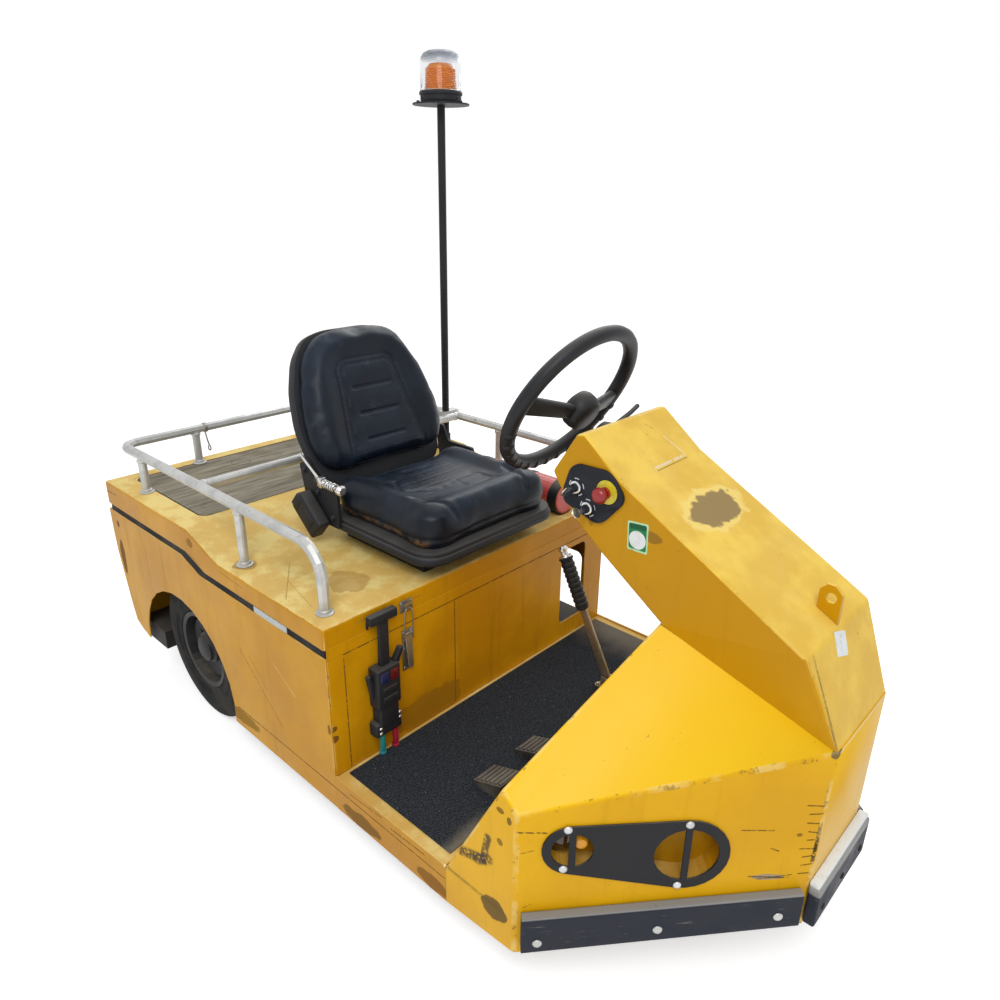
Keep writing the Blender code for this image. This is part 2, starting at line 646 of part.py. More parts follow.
# Mast and beacon
footTopZ = deckTop + 0.006
mast = rod("mast", (mastX, mastY, deckTop + fit), (mastX, mastY, mastTopZ), mastRadius, blackPaint, 20)
combine(mast, [
    box("mast_foot", (mastX - 0.030, mastY - 0.008, deckTop + fit), (mastX + 0.012, trayFrontY, footTopZ),
        blackPaint, group=cutters),
    box("mast_socket", (mastX - 0.016, mastY - 0.006, footTopZ - 0.001),
        (mastX + 0.014, mastY + 0.016, deckTop + 0.045), blackPaint, group=cutters)], "UNION")
clamp = box("mast_clamp", (mastX - mastRadius - 0.006, mastY - 0.014, railZ - railRadius - 0.004),
            (railX + railRadius + 0.004, mastY + 0.014, railZ + railRadius + 0.004), tubeMetal)
combine(clamp, [
    rod("mast_bore", (mastX, mastY, railZ - 0.1), (mastX, mastY, railZ + 0.1), mastRadius + fit, tubeMetal,
        20, cutters),
    rod("rail_bore", (railX, mastY - 0.1, railZ), (railX, mastY + 0.1, railZ), railRadius + 2 * fit,
        tubeMetal, 20, cutters)], "DIFFERENCE")

plateZ = mastTopZ + fit
plateTop = plateZ + 0.004
baseTop = plateTop + fit + 0.030
mastFoot = (mastX, mastY, 0)
turned("beacon_base", [(0, plateZ), (0.078, plateZ), (0.078, plateTop), (0.054, plateTop),
                       (0.056, plateTop + 0.008), (0.056, baseTop), (0, baseTop)], darkPlastic, mastFoot,
       (0, 0, 1), 32)
turned("beacon_lens", [(0, baseTop + fit), (0.044, baseTop + fit), (0.042, baseTop + 0.055),
                       (0.030, baseTop + 0.066), (0, baseTop + 0.068)], amber, mastFoot, (0, 0, 1), 32)
turned("beacon_cover", [(0, baseTop + 0.095), (0.020, baseTop + 0.094), (0.043, baseTop + 0.087),
                        (0.053, baseTop + 0.074), (0.0535, baseTop + fit), (0.056, baseTop + fit),
                        (0.0555, baseTop + 0.075), (0.045, baseTop + 0.090), (0.020, baseTop + 0.097),
                        (0, baseTop + 0.098)], clear, mastFoot, (0, 0, 1), 32)

# Seat
seatHalf = 0.222
panBottom = deckZ + 0.046
panTop = panBottom + 0.029
cushionTop = panTop + 0.088
box("seat_plinth", (-0.17, -0.07, deckZ + fit), (0.17, 0.22, panBottom), blackPaint)
panHalf = seatHalf + 0.003
pan = box("seat_pan", (-panHalf, -0.145, panBottom + fit), (panHalf, 0.262, panTop), darkPlastic, bevel=0.012)
box("seat_cushion", (-seatHalf, -0.150, panTop + fit), (seatHalf, 0.240, cushionTop), vinyl, bevel=0.028)

recline = math.radians(24)
backFoot = Vector((0, 0.287, panBottom + 0.097))
backLength = 0.36


def backPiece(name, low, high, topScale, mat, bevel):
    obj = box(name, low, high, mat)
    middleZ = (low[2] + high[2]) / 2
    for vert in obj.data.vertices:
        if vert.co.z > 0:
            vert.co.x *= topScale
    turn = Matrix.Rotation(-recline, 4, "X")
    obj.matrix_world = Matrix.Translation(backFoot) @ turn @ Matrix.Translation(
        ((low[0] + high[0]) / 2, (low[1] + high[1]) / 2, middleZ))
    addBevel(obj, bevel, 3)
    return obj


backPiece("seat_back_pad", (-seatHalf, -0.070, 0.0), (seatHalf, -fit, backLength), 0.72, vinyl, 0.026)
bracketThickness = 0.008
bracketInnerX = panHalf - 0.0017
backPiece("seat_back_shell", (-bracketInnerX, 0.0, -0.060), (bracketInnerX, 0.014, backLength + 0.004), 0.76,
          darkPlastic, 0.005)
bracket = [(0.165, 0.007), (0.300, 0.007), (0.300, 0.072), (0.315, 0.142), (0.285, 0.152), (0.262, 0.107),
           (0.165, 0.107)]
bracket = [(y, panBottom + z) for y, z in bracket]
combine(pan, [asMesh(plate(f"seat_bracket_{name}", [bracket], bracketThickness, darkPlastic,
                           yzFrame(side * (bracketInnerX + bracketThickness / 2)), cutters))
              for name, side in sides], "UNION")
beltX = bracketInnerX + bracketThickness + fit
beltZ = panBottom - 0.023
box("belt_retractor", (-beltX - 0.038, 0.205, beltZ), (-beltX, 0.295, beltZ + 0.100), darkPlastic,
    bevel=0.008)

# Extinguisher on the left of the seat
bottleX, bottleRadius = 0.330, 0.044
bottleZ = deckZ + fit + bottleRadius + 0.002
turned("extinguisher", [(0, 0), (0.040, 0), (0.046, 0.004), (0.046, 0.028), (bottleRadius, 0.029),
                        (bottleRadius, 0.290), (0.030, 0.318), (0.015, 0.325), (0, 0.325)], redPaint,
       (bottleX, -0.090, bottleZ), (0, 1, 0), 28)
turned("extinguisher_valve", [(0, 0.3253), (0.016, 0.3253), (0.020, 0.335), (0.020, 0.365), (0.010, 0.372),
                              (0, 0.372)], steel, (bottleX, -0.090, bottleZ), (0, 1, 0), 20)

# Footwell controls
mattedZ = floorZ + fit + matThickness + fit
leverX = 0.200
leverFoot = Vector((leverX, -0.352, mattedZ + 0.010))
leverTop = Vector((leverX, -0.178, 0.520))
leverRun = (leverTop - leverFoot).normalized()
leverLength = (leverTop - leverFoot).length
gripStart = 0.205
bar = rod("parking_lever", leverFoot, leverFoot + leverRun * (gripStart - fit), 0.007, steel, 12)
combine(bar, [box("lever_foot", (leverX - 0.022, -0.395, mattedZ), (leverX + 0.022, -0.325, mattedZ + 0.022),
                  steel, group=cutters)], "UNION")
turned("parking_lever_grip", [(0, gripStart), (0.014, gripStart), (0.016, gripStart + 0.13),
                              (0.011, gripStart + 0.136), (0.011, leverLength - 0.006), (0.007, leverLength),
                              (0, leverLength)], darkPlastic, leverFoot, leverRun, 20)
pedal = [(-0.430, mattedZ), (-0.340, mattedZ), (-0.345, mattedZ + 0.010), (-0.425, mattedZ + 0.040)]
for name, x in (("accelerator_pedal", -0.255), ("brake_pedal", -0.120)):
    plate(name, [pedal], 0.065, rubber, yzFrame(x))

wallFace = wallY - fit
connector = box("battery_connector", (-0.385, wallFace - 0.036, 0.225), (-0.305, wallFace, 0.415),
                darkPlastic, bevel=0.005)
connectorForms = [box("pull_strap", (-0.352, wallFace - 0.026, 0.410), (-0.338, wallFace - 0.012, 0.520),
                      darkPlastic, group=cutters),
                  box("pull_bar", (-0.380, wallFace - 0.028, 0.512), (-0.310, wallFace - 0.010, 0.532),
                      darkPlastic, group=cutters)]
connectorForms += [rod(f"battery_lead_{name}", (x, wallFace - 0.018, floorZ + 0.012),
                       (x, wallFace - 0.018, 0.230), 0.007, darkPlastic, 14, cutters)
                   for name, x in (("red", -0.325), ("blue", -0.362))]
combine(connector, connectorForms, "UNION")
latchX = -0.265
keeperZ = deckZ - hoodLip + 0.007
box("hood_keeper", (latchX - 0.018, wallFace - 0.008, keeperZ), (latchX + 0.018, wallFace, keeperZ + 0.028),
    steel)
latch = box("hood_latch", (latchX - 0.011, wallFace - 0.010, wallTopZ - 0.124),
            (latchX + 0.011, wallFace, wallTopZ - 0.024), steel, bevel=0.002)
combine(latch, [box("latch_hook", (latchX - 0.003, wallFace - 0.014, wallTopZ - 0.039),
                    (latchX + 0.003, wallFace - 0.009, wallTopZ + 0.015), steel, group=cutters)], "UNION")

# Front fork and wheel
carrierZ = 0.380
carrierThickness = 0.012
carrierSideGap = 0.0015
carrierFrontGap = 0.0006
faceNormal = Vector((-angleRun.y, angleRun.x)).normalized()
pocketClear = pocketDepth + 0.006
carrierRearY = -0.5835
carrierShoulderY = -0.592


def insideFace(y, inset):
    """Half width of the plan at y, this far inside the angled nose faces."""
    return bodyHalfWidth - (inset - faceNormal.y * (y - noseCornerY)) / faceNormal.x


carrierHalf = bodyHalfWidth - sheet - carrierSideGap
carrierFrontY = noseTipY + sheet + carrierFrontGap
carrierPlan = mirrored([(carrierHalf, carrierRearY), (carrierHalf, carrierShoulderY),
                        (insideFace(carrierShoulderY, pocketClear), carrierShoulderY),
                        (insideFace(carrierFrontY, pocketClear), carrierFrontY)])
forkHoleRadius = 0.100
plate("fork_carrier", [carrierPlan, arc((0, frontAxleY), forkHoleRadius, 0, 350, 35)], carrierThickness,
      blackPaint, Matrix.Translation((0, 0, carrierZ + carrierThickness / 2)))
forkDiscZ = carrierZ + carrierThickness + fit
fork = turned("steering_fork", [(0, forkDiscZ), (0.120, forkDiscZ), (0.120, forkDiscZ + 0.013),
                                (0, forkDiscZ + 0.013)], blackPaint, (0, frontAxleY, 0), (0, 0, 1), 36)
armX = tyreWidth / 2 + 0.014
axleEnd = Vector((armX + 0.008, 0, 0))
axleCentre = Vector((0, frontAxleY, frontTyreRadius))
arms = [rod("front_axle", axleCentre - axleEnd, axleCentre + axleEnd, axleRadius, blackPaint, 24, cutters)]
for name, side in sides:
    xs = sorted((side * armX, side * (armX + 0.012)))
    arms.append(box(f"fork_arm_{name}", (xs[0], frontAxleY - 0.035, frontTyreRadius - 0.035),
                    (xs[1], frontAxleY + 0.035, forkDiscZ + 0.006), blackPaint, group=cutters))
combine(fork, arms, "UNION")
wheel("front", 0, frontAxleY, frontTyreRadius, 1, 0.043)

# Rear end
jawEnd = rearY + 0.0923
jawHalfWidth = 0.05
pinY = rearY + 0.055


def panelY(z):
    """Just behind the rear panel's sloped face."""
    (lowY, lowZ), (highY, highZ) = rearSlope[1:3]
    return lowY + (z - lowZ) * (highY - lowY) / (highZ - lowZ) + 3 * fit


jaws = ((0.205, 0.221), (0.270, 0.286), (0.339, 0.355))
spine = 0.018
coupling = [(panelY(jaws[0][0]), jaws[0][0]), (jawEnd, jaws[0][0]), (jawEnd, jaws[0][1])]
for (_, top), (low, high) in zip(jaws, jaws[1:]):
    coupling += [(panelY(top) + spine, top), (panelY(low) + spine, low), (jawEnd, low), (jawEnd, high)]
coupling.append((panelY(jaws[-1][1]), jaws[-1][1]))
pinRadius = 0.012
couplingBody = asMesh(plate("tow_coupling", [coupling], 2 * jawHalfWidth, blackPaint, yzFrame(0)))
pinBore = rod("pin_bore", (0, pinY, 0.15), (0, pinY, 0.40), pinRadius + fit, steel, 24, cutters)
combine(couplingBody, [pinBore], "DIFFERENCE")
turned("tow_pin", [(0, 0.190), (pinRadius - 0.002, 0.190), (pinRadius, 0.196), (pinRadius, 0.355 + fit),
                   (0.020, 0.355 + fit), (0.020, 0.363), (0.009, 0.366), (0.009, 0.395), (0, 0.397)], steel,
       (0, pinY, 0), (0, 0, 1), 24)

# The deck pieces hang from one empty on the hinge line
deckHinge = bpy.data.objects.new("deck_hinge", None)
tug.objects.link(deckHinge)
deckHinge.location = (0, hingeY, hingeZ)
bpy.context.view_layer.update()
deckPieces = ("hood", "hood_keeper", "hinge_upper", "cargo_tray", "luggage_rail", "mast", "mast_clamp",
              "beacon_base", "beacon_lens", "beacon_cover", "seat_plinth", "seat_pan", "seat_cushion",
              "seat_back_pad", "seat_back_shell", "belt_retractor", "extinguisher", "extinguisher_valve")
for name in deckPieces:
    piece = bpy.data.objects[name]
    piece.parent = deckHinge
    piece.matrix_parent_inverse = deckHinge.matrix_world.inverted()
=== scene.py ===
import json
import math
import random

import bpy
import bmesh
from mathutils import Matrix, Vector

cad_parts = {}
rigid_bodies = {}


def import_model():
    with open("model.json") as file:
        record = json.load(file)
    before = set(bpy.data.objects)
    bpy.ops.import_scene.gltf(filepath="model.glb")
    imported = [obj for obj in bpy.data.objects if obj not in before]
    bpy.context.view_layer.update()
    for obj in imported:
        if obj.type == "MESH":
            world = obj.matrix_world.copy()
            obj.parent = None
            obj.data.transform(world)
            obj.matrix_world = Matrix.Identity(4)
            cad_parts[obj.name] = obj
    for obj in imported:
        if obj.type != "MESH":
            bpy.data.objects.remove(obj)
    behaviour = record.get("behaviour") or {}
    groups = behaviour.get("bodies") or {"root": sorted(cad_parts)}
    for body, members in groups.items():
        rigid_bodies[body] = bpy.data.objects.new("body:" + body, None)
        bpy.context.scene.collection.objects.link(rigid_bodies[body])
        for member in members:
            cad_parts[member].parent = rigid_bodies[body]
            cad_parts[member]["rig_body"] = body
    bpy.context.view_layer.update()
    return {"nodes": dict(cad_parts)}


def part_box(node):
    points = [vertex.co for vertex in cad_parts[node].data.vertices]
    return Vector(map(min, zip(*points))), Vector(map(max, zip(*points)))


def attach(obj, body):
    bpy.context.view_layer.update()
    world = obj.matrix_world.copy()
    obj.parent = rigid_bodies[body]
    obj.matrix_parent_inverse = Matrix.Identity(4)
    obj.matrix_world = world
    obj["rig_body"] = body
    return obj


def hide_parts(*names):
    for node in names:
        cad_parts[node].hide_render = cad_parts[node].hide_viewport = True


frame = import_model()
nodes = frame["nodes"]
dice = random.Random(5)
scene = bpy.context.scene

# Camera

cameraLook = {
    "place": (-1.2211, -1.2733, 1.3712),
    "azimuth": -47.338,
    "pitch": 22.285,
    "roll": 0.727,
    "lens": 27.88,
}


def makeCamera(look):
    turn, tip, roll = (math.radians(look[key]) for key in ("azimuth", "pitch", "roll"))
    back = Vector((math.sin(turn) * math.cos(tip), -math.cos(turn) * math.cos(tip), math.sin(tip)))
    right = Vector((0, 0, 1)).cross(back).normalized()
    up = back.cross(right)
    rolledRight = right * math.cos(roll) + up * math.sin(roll)
    rolledUp = up * math.cos(roll) - right * math.sin(roll)
    data = bpy.data.cameras.new("camera")
    data.lens = look["lens"]
    data.sensor_width = 36
    data.clip_start = 0.01
    data.clip_end = 100
    camera = bpy.data.objects.new("camera", data)
    scene.collection.objects.link(camera)
    axes = Matrix((rolledRight, rolledUp, back)).transposed()
    camera.matrix_world = Matrix.Translation(look["place"]) @ axes.to_4x4()
    scene.camera = camera


makeCamera(cameraLook)
print("camera set")

# Shader graph: a Wire is a socket that takes arithmetic, a Finish is one material


class Wire:
    def __init__(self, finish, socket):
        self.finish = finish
        self.socket = socket

    def __add__(self, other):
        return self.finish.math("ADD", self, other)

    __radd__ = __add__

    def __sub__(self, other):
        return self.finish.math("SUBTRACT", self, other)

    def __rsub__(self, other):
        return self.finish.math("SUBTRACT", other, self)

    def __mul__(self, other):
        return self.finish.math("MULTIPLY", self, other)

    __rmul__ = __mul__

    def __truediv__(self, other):
        return self.finish.math("DIVIDE", self, other)


class Finish:
    def __init__(self, name, **fixed):
        self.material = bpy.data.materials.new(name)
        self.material.use_nodes = True
        self.tree = self.material.node_tree
        self.shader = self.tree.nodes["Principled BSDF"]
        self.give(**fixed)
        self.place = self.node("ShaderNodeTexCoord", output="Object")
        self.x, self.y, self.z = (self.node("ShaderNodeSeparateXYZ", None, {0: self.place}, axis)
                                  for axis in range(3))

    def connect(self, socket, value):
        if isinstance(value, Wire):
            self.tree.links.new(value.socket, socket)
        elif socket.type == "RGBA":
            socket.default_value = (*value[:3], 1)
        else:
            socket.default_value = value

    def node(self, kind, settings=None, sockets=None, output=0):
        made = self.tree.nodes.new(kind)
        for key, value in (settings or {}).items():
            setattr(made, key, value)
        for key, value in (sockets or {}).items():
            self.connect(made.inputs[key], value)
        return Wire(self, made.outputs[output])

    def math(self, operation, a, b=0.0, clamp=False):
        return self.node("ShaderNodeMath", {"operation": operation, "use_clamp": clamp}, {0: a, 1: b})

    def clamp(self, value):
        return self.math("ADD", value, 0.0, clamp=True)

    def most(self, *values):
        top = values[0]
        for value in values[1:]:
            top = self.math("MAXIMUM", top, value)
        return top

    def vector(self, operation, a, b=(0, 0, 0), output=0):
        return self.node("ShaderNodeVectorMath", {"operation": operation}, {0: a, 1: b}, output)

    def smooth(self, value, low, high):
        return self.node("ShaderNodeMapRange", {"interpolation_type": "SMOOTHSTEP"},
                         {"Value": value, "From Min": low, "From Max": high})

    def mix(self, factor, a, b):
        return self.node("ShaderNodeMix", {"data_type": "RGBA"}, {0: factor, 6: a, 7: b}, 2)

    def noise(self, scale, detail=3.0, roughness=0.55, place=None):
        return self.node("ShaderNodeTexNoise", None, {"Vector": place or self.place, "Scale": scale,
                                                      "Detail": detail, "Roughness": roughness})

    def stretched(self, *scale):
        return self.vector("MULTIPLY", self.place, scale)

    def facing(self, axis):
        normal = self.node("ShaderNodeTexCoord", output="Normal")
        return self.node("ShaderNodeSeparateXYZ", None, {0: normal}, "XYZ".index(axis))

    def rim(self):
        return self.node("ShaderNodeAttribute", {"attribute_name": "rim"}, None, "Fac")

    def bump(self, height, strength=0.3, distance=0.001):
        return self.node("ShaderNodeBump", None, {"Height": height, "Strength": strength,
                                                  "Distance": distance})

    # 1 on the line from start to end, falling to 0 a width away
    def nearLine(self, start, end, width):
        run = Vector(end) - Vector(start)
        away = self.vector("SUBTRACT", self.place, start)
        along = self.clamp(self.vector("DOT_PRODUCT", away, run / run.length_squared, 1))
        foot = self.node("ShaderNodeVectorMath", {"operation": "SCALE"}, {0: run, 3: along})
        return self.clamp(1 - self.vector("DISTANCE", away, foot, 1) / width)

    # 1 inside a ragged ellipsoid
    def blot(self, centre, radii, ragged=0.9, scale=28.0):
        away = self.vector("DIVIDE", self.vector("SUBTRACT", self.place, centre), radii)
        reach = self.vector("LENGTH", away, output=1) + (self.noise(scale, 4) - 0.5) * ragged
        return self.smooth(reach, 1.0, 0.85)

    # distance outside a rounded rectangle that lies across two axes
    def outside(self, a, b, centre, half, radius):
        da = self.math("ABSOLUTE", a - centre[0]) - (half[0] - radius)
        db = self.math("ABSOLUTE", b - centre[1]) - (half[1] - radius)
        corner = self.node("ShaderNodeCombineXYZ", None, {0: self.math("MAXIMUM", da, 0.0),
                                                          1: self.math("MAXIMUM", db, 0.0)})
        inner = self.math("MINIMUM", self.math("MAXIMUM", da, db), 0.0)
        return self.vector("LENGTH", corner, output=1) + inner - radius

    def give(self, **outputs):
        for key, value in outputs.items():
            self.connect(self.shader.inputs[key.replace("_", " ")], value)
        return self.material


# A colour as it is read off a screen, turned to the linear one that shaders use
def shade(*levels):
    return tuple(((level / 255 + 0.055) / 1.055) ** 2.4 if level > 10 else level / 3295 for level in levels)


black, ink, rust = shade(14, 14, 16), shade(38, 34, 32), shade(92, 52, 26)
chalk = shade(222, 214, 196)

# Paint: tone varies broadly, dust lies on what faces up, edges chip, and marks are laid on top

paintLook = {
    "tone": shade(214, 156, 4),
    "deep": shade(188, 130, 2),
    "dust": shade(229, 205, 132),
    "dusty": 0.35,
    "streaks": 0.25,
    "chips": 0.5,
    "marks": (),
}


def layMarks(paint, colour, marks):
    scuffed = None
    for kind, tint, strength, *shape in marks:
        mask = paint.nearLine(*shape) if kind == "line" else paint.blot(*shape)
        if kind == "line":
            mask = paint.smooth(mask, 0.1, 0.6)
            mask = mask * paint.smooth(paint.noise(160, 2), 0.3, 0.5)
        mask = mask * strength
        colour = paint.mix(mask, colour, tint)
        scuffed = mask if scuffed is None else paint.most(scuffed, mask)
    return colour, scuffed


def yellowPaint(name, regions=(), **changes):
    look = {**paintLook, **changes}
    paint = Finish(name, Specular_IOR_Level=0.22)
    broad = paint.smooth(paint.noise(3.1, 4, 0.6), 0.34, 0.68)
    colour = paint.mix(broad, look["deep"], look["tone"])
    for mask, tint in (region(paint) for region in regions):
        colour = paint.mix(mask, colour, tint)
    cloudy = paint.smooth(paint.noise(11, 5, 0.65), 0.42, 0.7)
    upward = paint.smooth(paint.facing("Z"), 0.55, 0.98)
    dust = paint.clamp(upward * look["dusty"] * (0.55 + 0.75 * cloudy))
    colour = paint.mix(dust, colour, look["dust"])
    upright = 1 - paint.smooth(paint.facing("Z"), 0.2, 0.6)
    streaks = paint.smooth(paint.noise(1.0, 4, 0.7, paint.stretched(34, 34, 2.6)), 0.52, 0.78)
    streaks = streaks * upright * look["streaks"]
    colour = paint.mix(streaks, colour, shade(120, 88, 30))
    specks = paint.smooth(paint.noise(120, 3, 0.7), 0.69, 0.74) * 0.55
    colour = paint.mix(specks, colour, shade(112, 84, 40))
    colour, scuffed = layMarks(paint, colour, look["marks"])
    chips = paint.rim() * paint.smooth(paint.noise(46, 5, 0.75), 0.56, 0.62) * look["chips"]
    pale = paint.rim() * paint.smooth(paint.noise(17, 3), 0.42, 0.6) * 0.45
    colour = paint.mix(pale, colour, shade(238, 214, 140))
    colour = paint.mix(chips, colour, shade(74, 62, 52))
    worn = paint.most(dust, streaks, chips, specks) if scuffed is None else \
        paint.most(dust, streaks, chips, specks, scuffed)
    height = paint.noise(240, 2, 0.5) * 0.25 + paint.noise(14, 2) * 0.5 - chips * 0.7
    return paint.give(Base_Color=colour, Roughness=0.40 + worn * 0.4 + cloudy * 0.06,
                      Normal=paint.bump(height, 0.22, 0.0012))


# Where the nose's side faces lie: x from the corner at s = 0, outward through the tip
noseLook = {
    "corner": (-0.48, -0.636),
    "run": (0.709, -0.705),
    "length": 0.516,
}


def onNose(s, z):
    return (noseLook["corner"][0] + noseLook["run"][0] * s, noseLook["corner"][1] + noseLook["run"][1] * s, z)


noseMarks = [
    ("line", ink, 0.8, onNose(0.00, 0.376), onNose(0.05, 0.374), 0.0028),
    ("line", ink, 0.7, onNose(0.38, 0.371), onNose(0.44, 0.369), 0.0022),
    ("line", ink, 0.7, onNose(0.436, 0.329), onNose(0.449, 0.323), 0.0025),
    ("blot", ink, 0.6, onNose(0.48, 0.358), (0.005, 0.005, 0.004)),
    ("line", ink, 0.5, onNose(0.01, 0.330), onNose(0.03, 0.336), 0.002),
    ("line", ink, 0.5, onNose(0.015, 0.205), onNose(0.03, 0.212), 0.002),
    ("blot", shade(150, 142, 128), 0.75, onNose(0.44, 0.264), (0.030, 0.030, 0.007)),
    ("line", black, 0.8, onNose(0.405, 0.266), onNose(0.475, 0.261), 0.0022),
    ("line", black, 0.7, onNose(0.42, 0.259), onNose(0.48, 0.268), 0.0018),
    ("line", black, 0.9, onNose(0.512, 0.30), onNose(0.514, 0.38), 0.006),
    ("line", shade(60, 56, 52), 0.85, (-0.48, -0.502, 0.241), (-0.48, -0.560, 0.262), 0.017),
    ("line", shade(60, 56, 52), 0.85, (-0.48, -0.560, 0.262), (-0.48, -0.572, 0.320), 0.012),
    ("line", shade(70, 60, 48), 0.7, (-0.48, -0.545, 0.250), (-0.48, -0.574, 0.273), 0.016),
    ("blot", shade(58, 52, 48), 0.8, (-0.48, -0.590, 0.165), (0.02, 0.034, 0.028)),
    ("blot", shade(96, 60, 30), 0.75, (-0.48, -0.600, 0.400), (0.01, 0.009, 0.007)),
    ("blot", shade(70, 52, 36), 0.75, (-0.48, -0.620, 0.390), (0.01, 0.006, 0.009)),
    ("blot", shade(96, 66, 36), 0.7, (-0.48, -0.600, 0.330), (0.01, 0.007, 0.007)),
    ("blot", shade(80, 76, 70), 0.8, (-0.112, -1.0, 0.524), (0.016, 0.014, 0.010)),
    ("line", chalk, 0.55, (-0.10, -1.0, 0.523), (0.10, -1.0, 0.523), 0.005),
    ("line", shade(96, 76, 44), 0.5, (-0.48, -0.47, 0.172), (-0.48, -0.61, 0.172), 0.006),
]
for step in range(9):
    high = 0.27 + step * 0.019
    noseMarks.append(("line", black, 0.75, onNose(0.484 + dice.uniform(0, 0.012), high),
                      onNose(0.512, high + dice.uniform(-0.004, 0.004)), 0.0022))


def noseFront(paint):
    front = paint.smooth(paint.math("MULTIPLY", paint.facing("Y"), -1.0), 0.9, 0.97)
    weathered = front * (0.55 + 0.4 * paint.noise(7, 4))
    return weathered, shade(224, 186, 104)


# Painted highlight: the nose's upward-facing slopes are painted a brighter yellow, standing in for light from
# above
def noseCrownHighlight(paint):
    litCrown = paint.smooth(paint.facing("Z"), 0.25, 0.6)
    return litCrown * 0.8, shade(244, 197, 22)


columnMarks = [
    ("blot", shade(236, 208, 120), 0.9, (0.008, -0.676, 0.824), (0.102, 0.052, 0.05), 0.7, 34),
    ("blot", shade(126, 104, 74), 0.85, (0.010, -0.676, 0.824), (0.085, 0.037, 0.04), 0.9, 42),
    ("line", chalk, 0.8, (0.060, -0.525, 0.917), (0.078, -0.565, 0.886), 0.002),
    ("line", chalk, 0.8, (0.075, -0.567, 0.885), (-0.030, -0.567, 0.884), 0.0035),
    ("line", shade(120, 96, 60), 0.7, (0.075, -0.572, 0.881), (-0.030, -0.573, 0.880), 0.002),
    ("line", chalk, 0.7, (0.080, -0.600, 0.861), (-0.055, -0.606, 0.860), 0.002),
    ("line", shade(120, 96, 60), 0.6, (0.035, -0.495, 0.940), (0.047, -0.508, 0.931), 0.002),
    ("line", shade(120, 96, 60), 0.6, (0.010, -0.505, 0.935), (0.020, -0.515, 0.926), 0.002),
    ("blot", shade(110, 84, 40), 0.6, (-0.137, -0.640, 0.800), (0.02, 0.022, 0.011)),
    ("blot", shade(110, 84, 40), 0.5, (-0.137, -0.505, 0.800), (0.02, 0.008, 0.02)),
    ("line", shade(84, 72, 56), 0.6, (-0.114, -0.999, 0.53), (-0.114, -0.935, 0.685), 0.005),
]


def columnTop(paint):
    top = paint.smooth(paint.facing("Z"), 0.15, 0.4)
    return top * (0.55 + 0.45 * paint.smooth(paint.noise(9, 4), 0.4, 0.65)), shade(236, 198, 74)


wallMarks = [
    ("line", ink, 0.8, (-0.435, -0.112, 0.17), (-0.435, -0.112, 0.455), 0.0022),
    ("line", ink, 0.8, (-0.115, -0.112, 0.17), (-0.115, -0.112, 0.455), 0.0022),
    ("line", ink, 0.8, (-0.435, -0.112, 0.460), (0.47, -0.112, 0.460), 0.0022),
    ("blot", rust, 0.85, (-0.474, -0.112, 0.264), (0.012, 0.01, 0.010)),
    ("blot", rust, 0.85, (-0.474, -0.112, 0.290), (0.010, 0.01, 0.007)),
    ("blot", shade(128, 90, 20), 0.5, (-0.20, -0.112, 0.20), (0.12, 0.02, 0.05)),
]
sideMarks = [
    ("line", shade(120, 92, 40), 0.7, (-0.48, 0.25, 0.33), (-0.48, 0.09, 0.19), 0.0022),
    ("line", shade(120, 92, 40), 0.6, (-0.48, 0.21, 0.33), (-0.48, 0.13, 0.26), 0.0018),
    ("line", shade(240, 214, 130), 0.6, (-0.48, 0.10, 0.36), (-0.48, 0.02, 0.31), 0.0018),
    ("line", ink, 0.75, (-0.48, -0.11, 0.137), (-0.48, 0.30, 0.137), 0.0025),
    ("blot", rust, 0.8, (-0.48, 0.890, 0.36), (0.01, 0.016, 0.055)),
    ("blot", rust, 0.8, (-0.48, 0.885, 0.46), (0.01, 0.010, 0.012)),
    ("blot", rust, 0.7, (-0.48, -0.105, 0.29), (0.01, 0.006, 0.014)),
    ("blot", shade(104, 78, 36), 0.6, (-0.48, 0.30, 0.115), (0.01, 0.10, 0.02)),
    ("line", shade(120, 92, 40), 0.7, (0.48, 0.60, 0.44), (0.48, 0.38, 0.40), 0.0022),
    ("line", shade(60, 56, 52), 0.7, (0.48, -0.05, 0.20), (0.48, 0.16, 0.22), 0.004),
    ("blot", rust, 0.8, (0.48, 0.885, 0.22), (0.01, 0.02, 0.05)),
]
deckMarks = [
    ("line", shade(150, 110, 60), 0.6, (-0.40, -0.112, 0.52), (-0.22, -0.112, 0.514), 0.002),
    ("blot", shade(160, 118, 52), 0.5, (-0.32, 0.02, 0.537), (0.05, 0.06, 0.01)),
    ("line", shade(150, 112, 60), 0.6, (-0.46, 0.05, 0.537), (-0.36, 0.19, 0.537), 0.002),
    ("line", shade(150, 112, 60), 0.5, (-0.44, -0.02, 0.537), (-0.41, 0.12, 0.537), 0.0016),
    ("line", shade(60, 52, 40), 0.5, (-0.48, 0.30, 0.52), (-0.48, 0.20, 0.515), 0.002),
    ("line", rust, 0.6, (-0.48, 0.86, 0.555), (-0.48, 0.93, 0.552), 0.003),
    ("blot", shade(120, 84, 36), 0.6, (-0.48, 0.44, 0.548), (0.01, 0.016, 0.012)),
    ("line", ink, 0.5, (-0.48, 0.40, 0.50), (-0.48, 0.455, 0.515), 0.0022),
    ("blot", shade(90, 70, 44), 0.5, (-0.435, 0.26, 0.537), (0.03, 0.03, 0.01)),
]
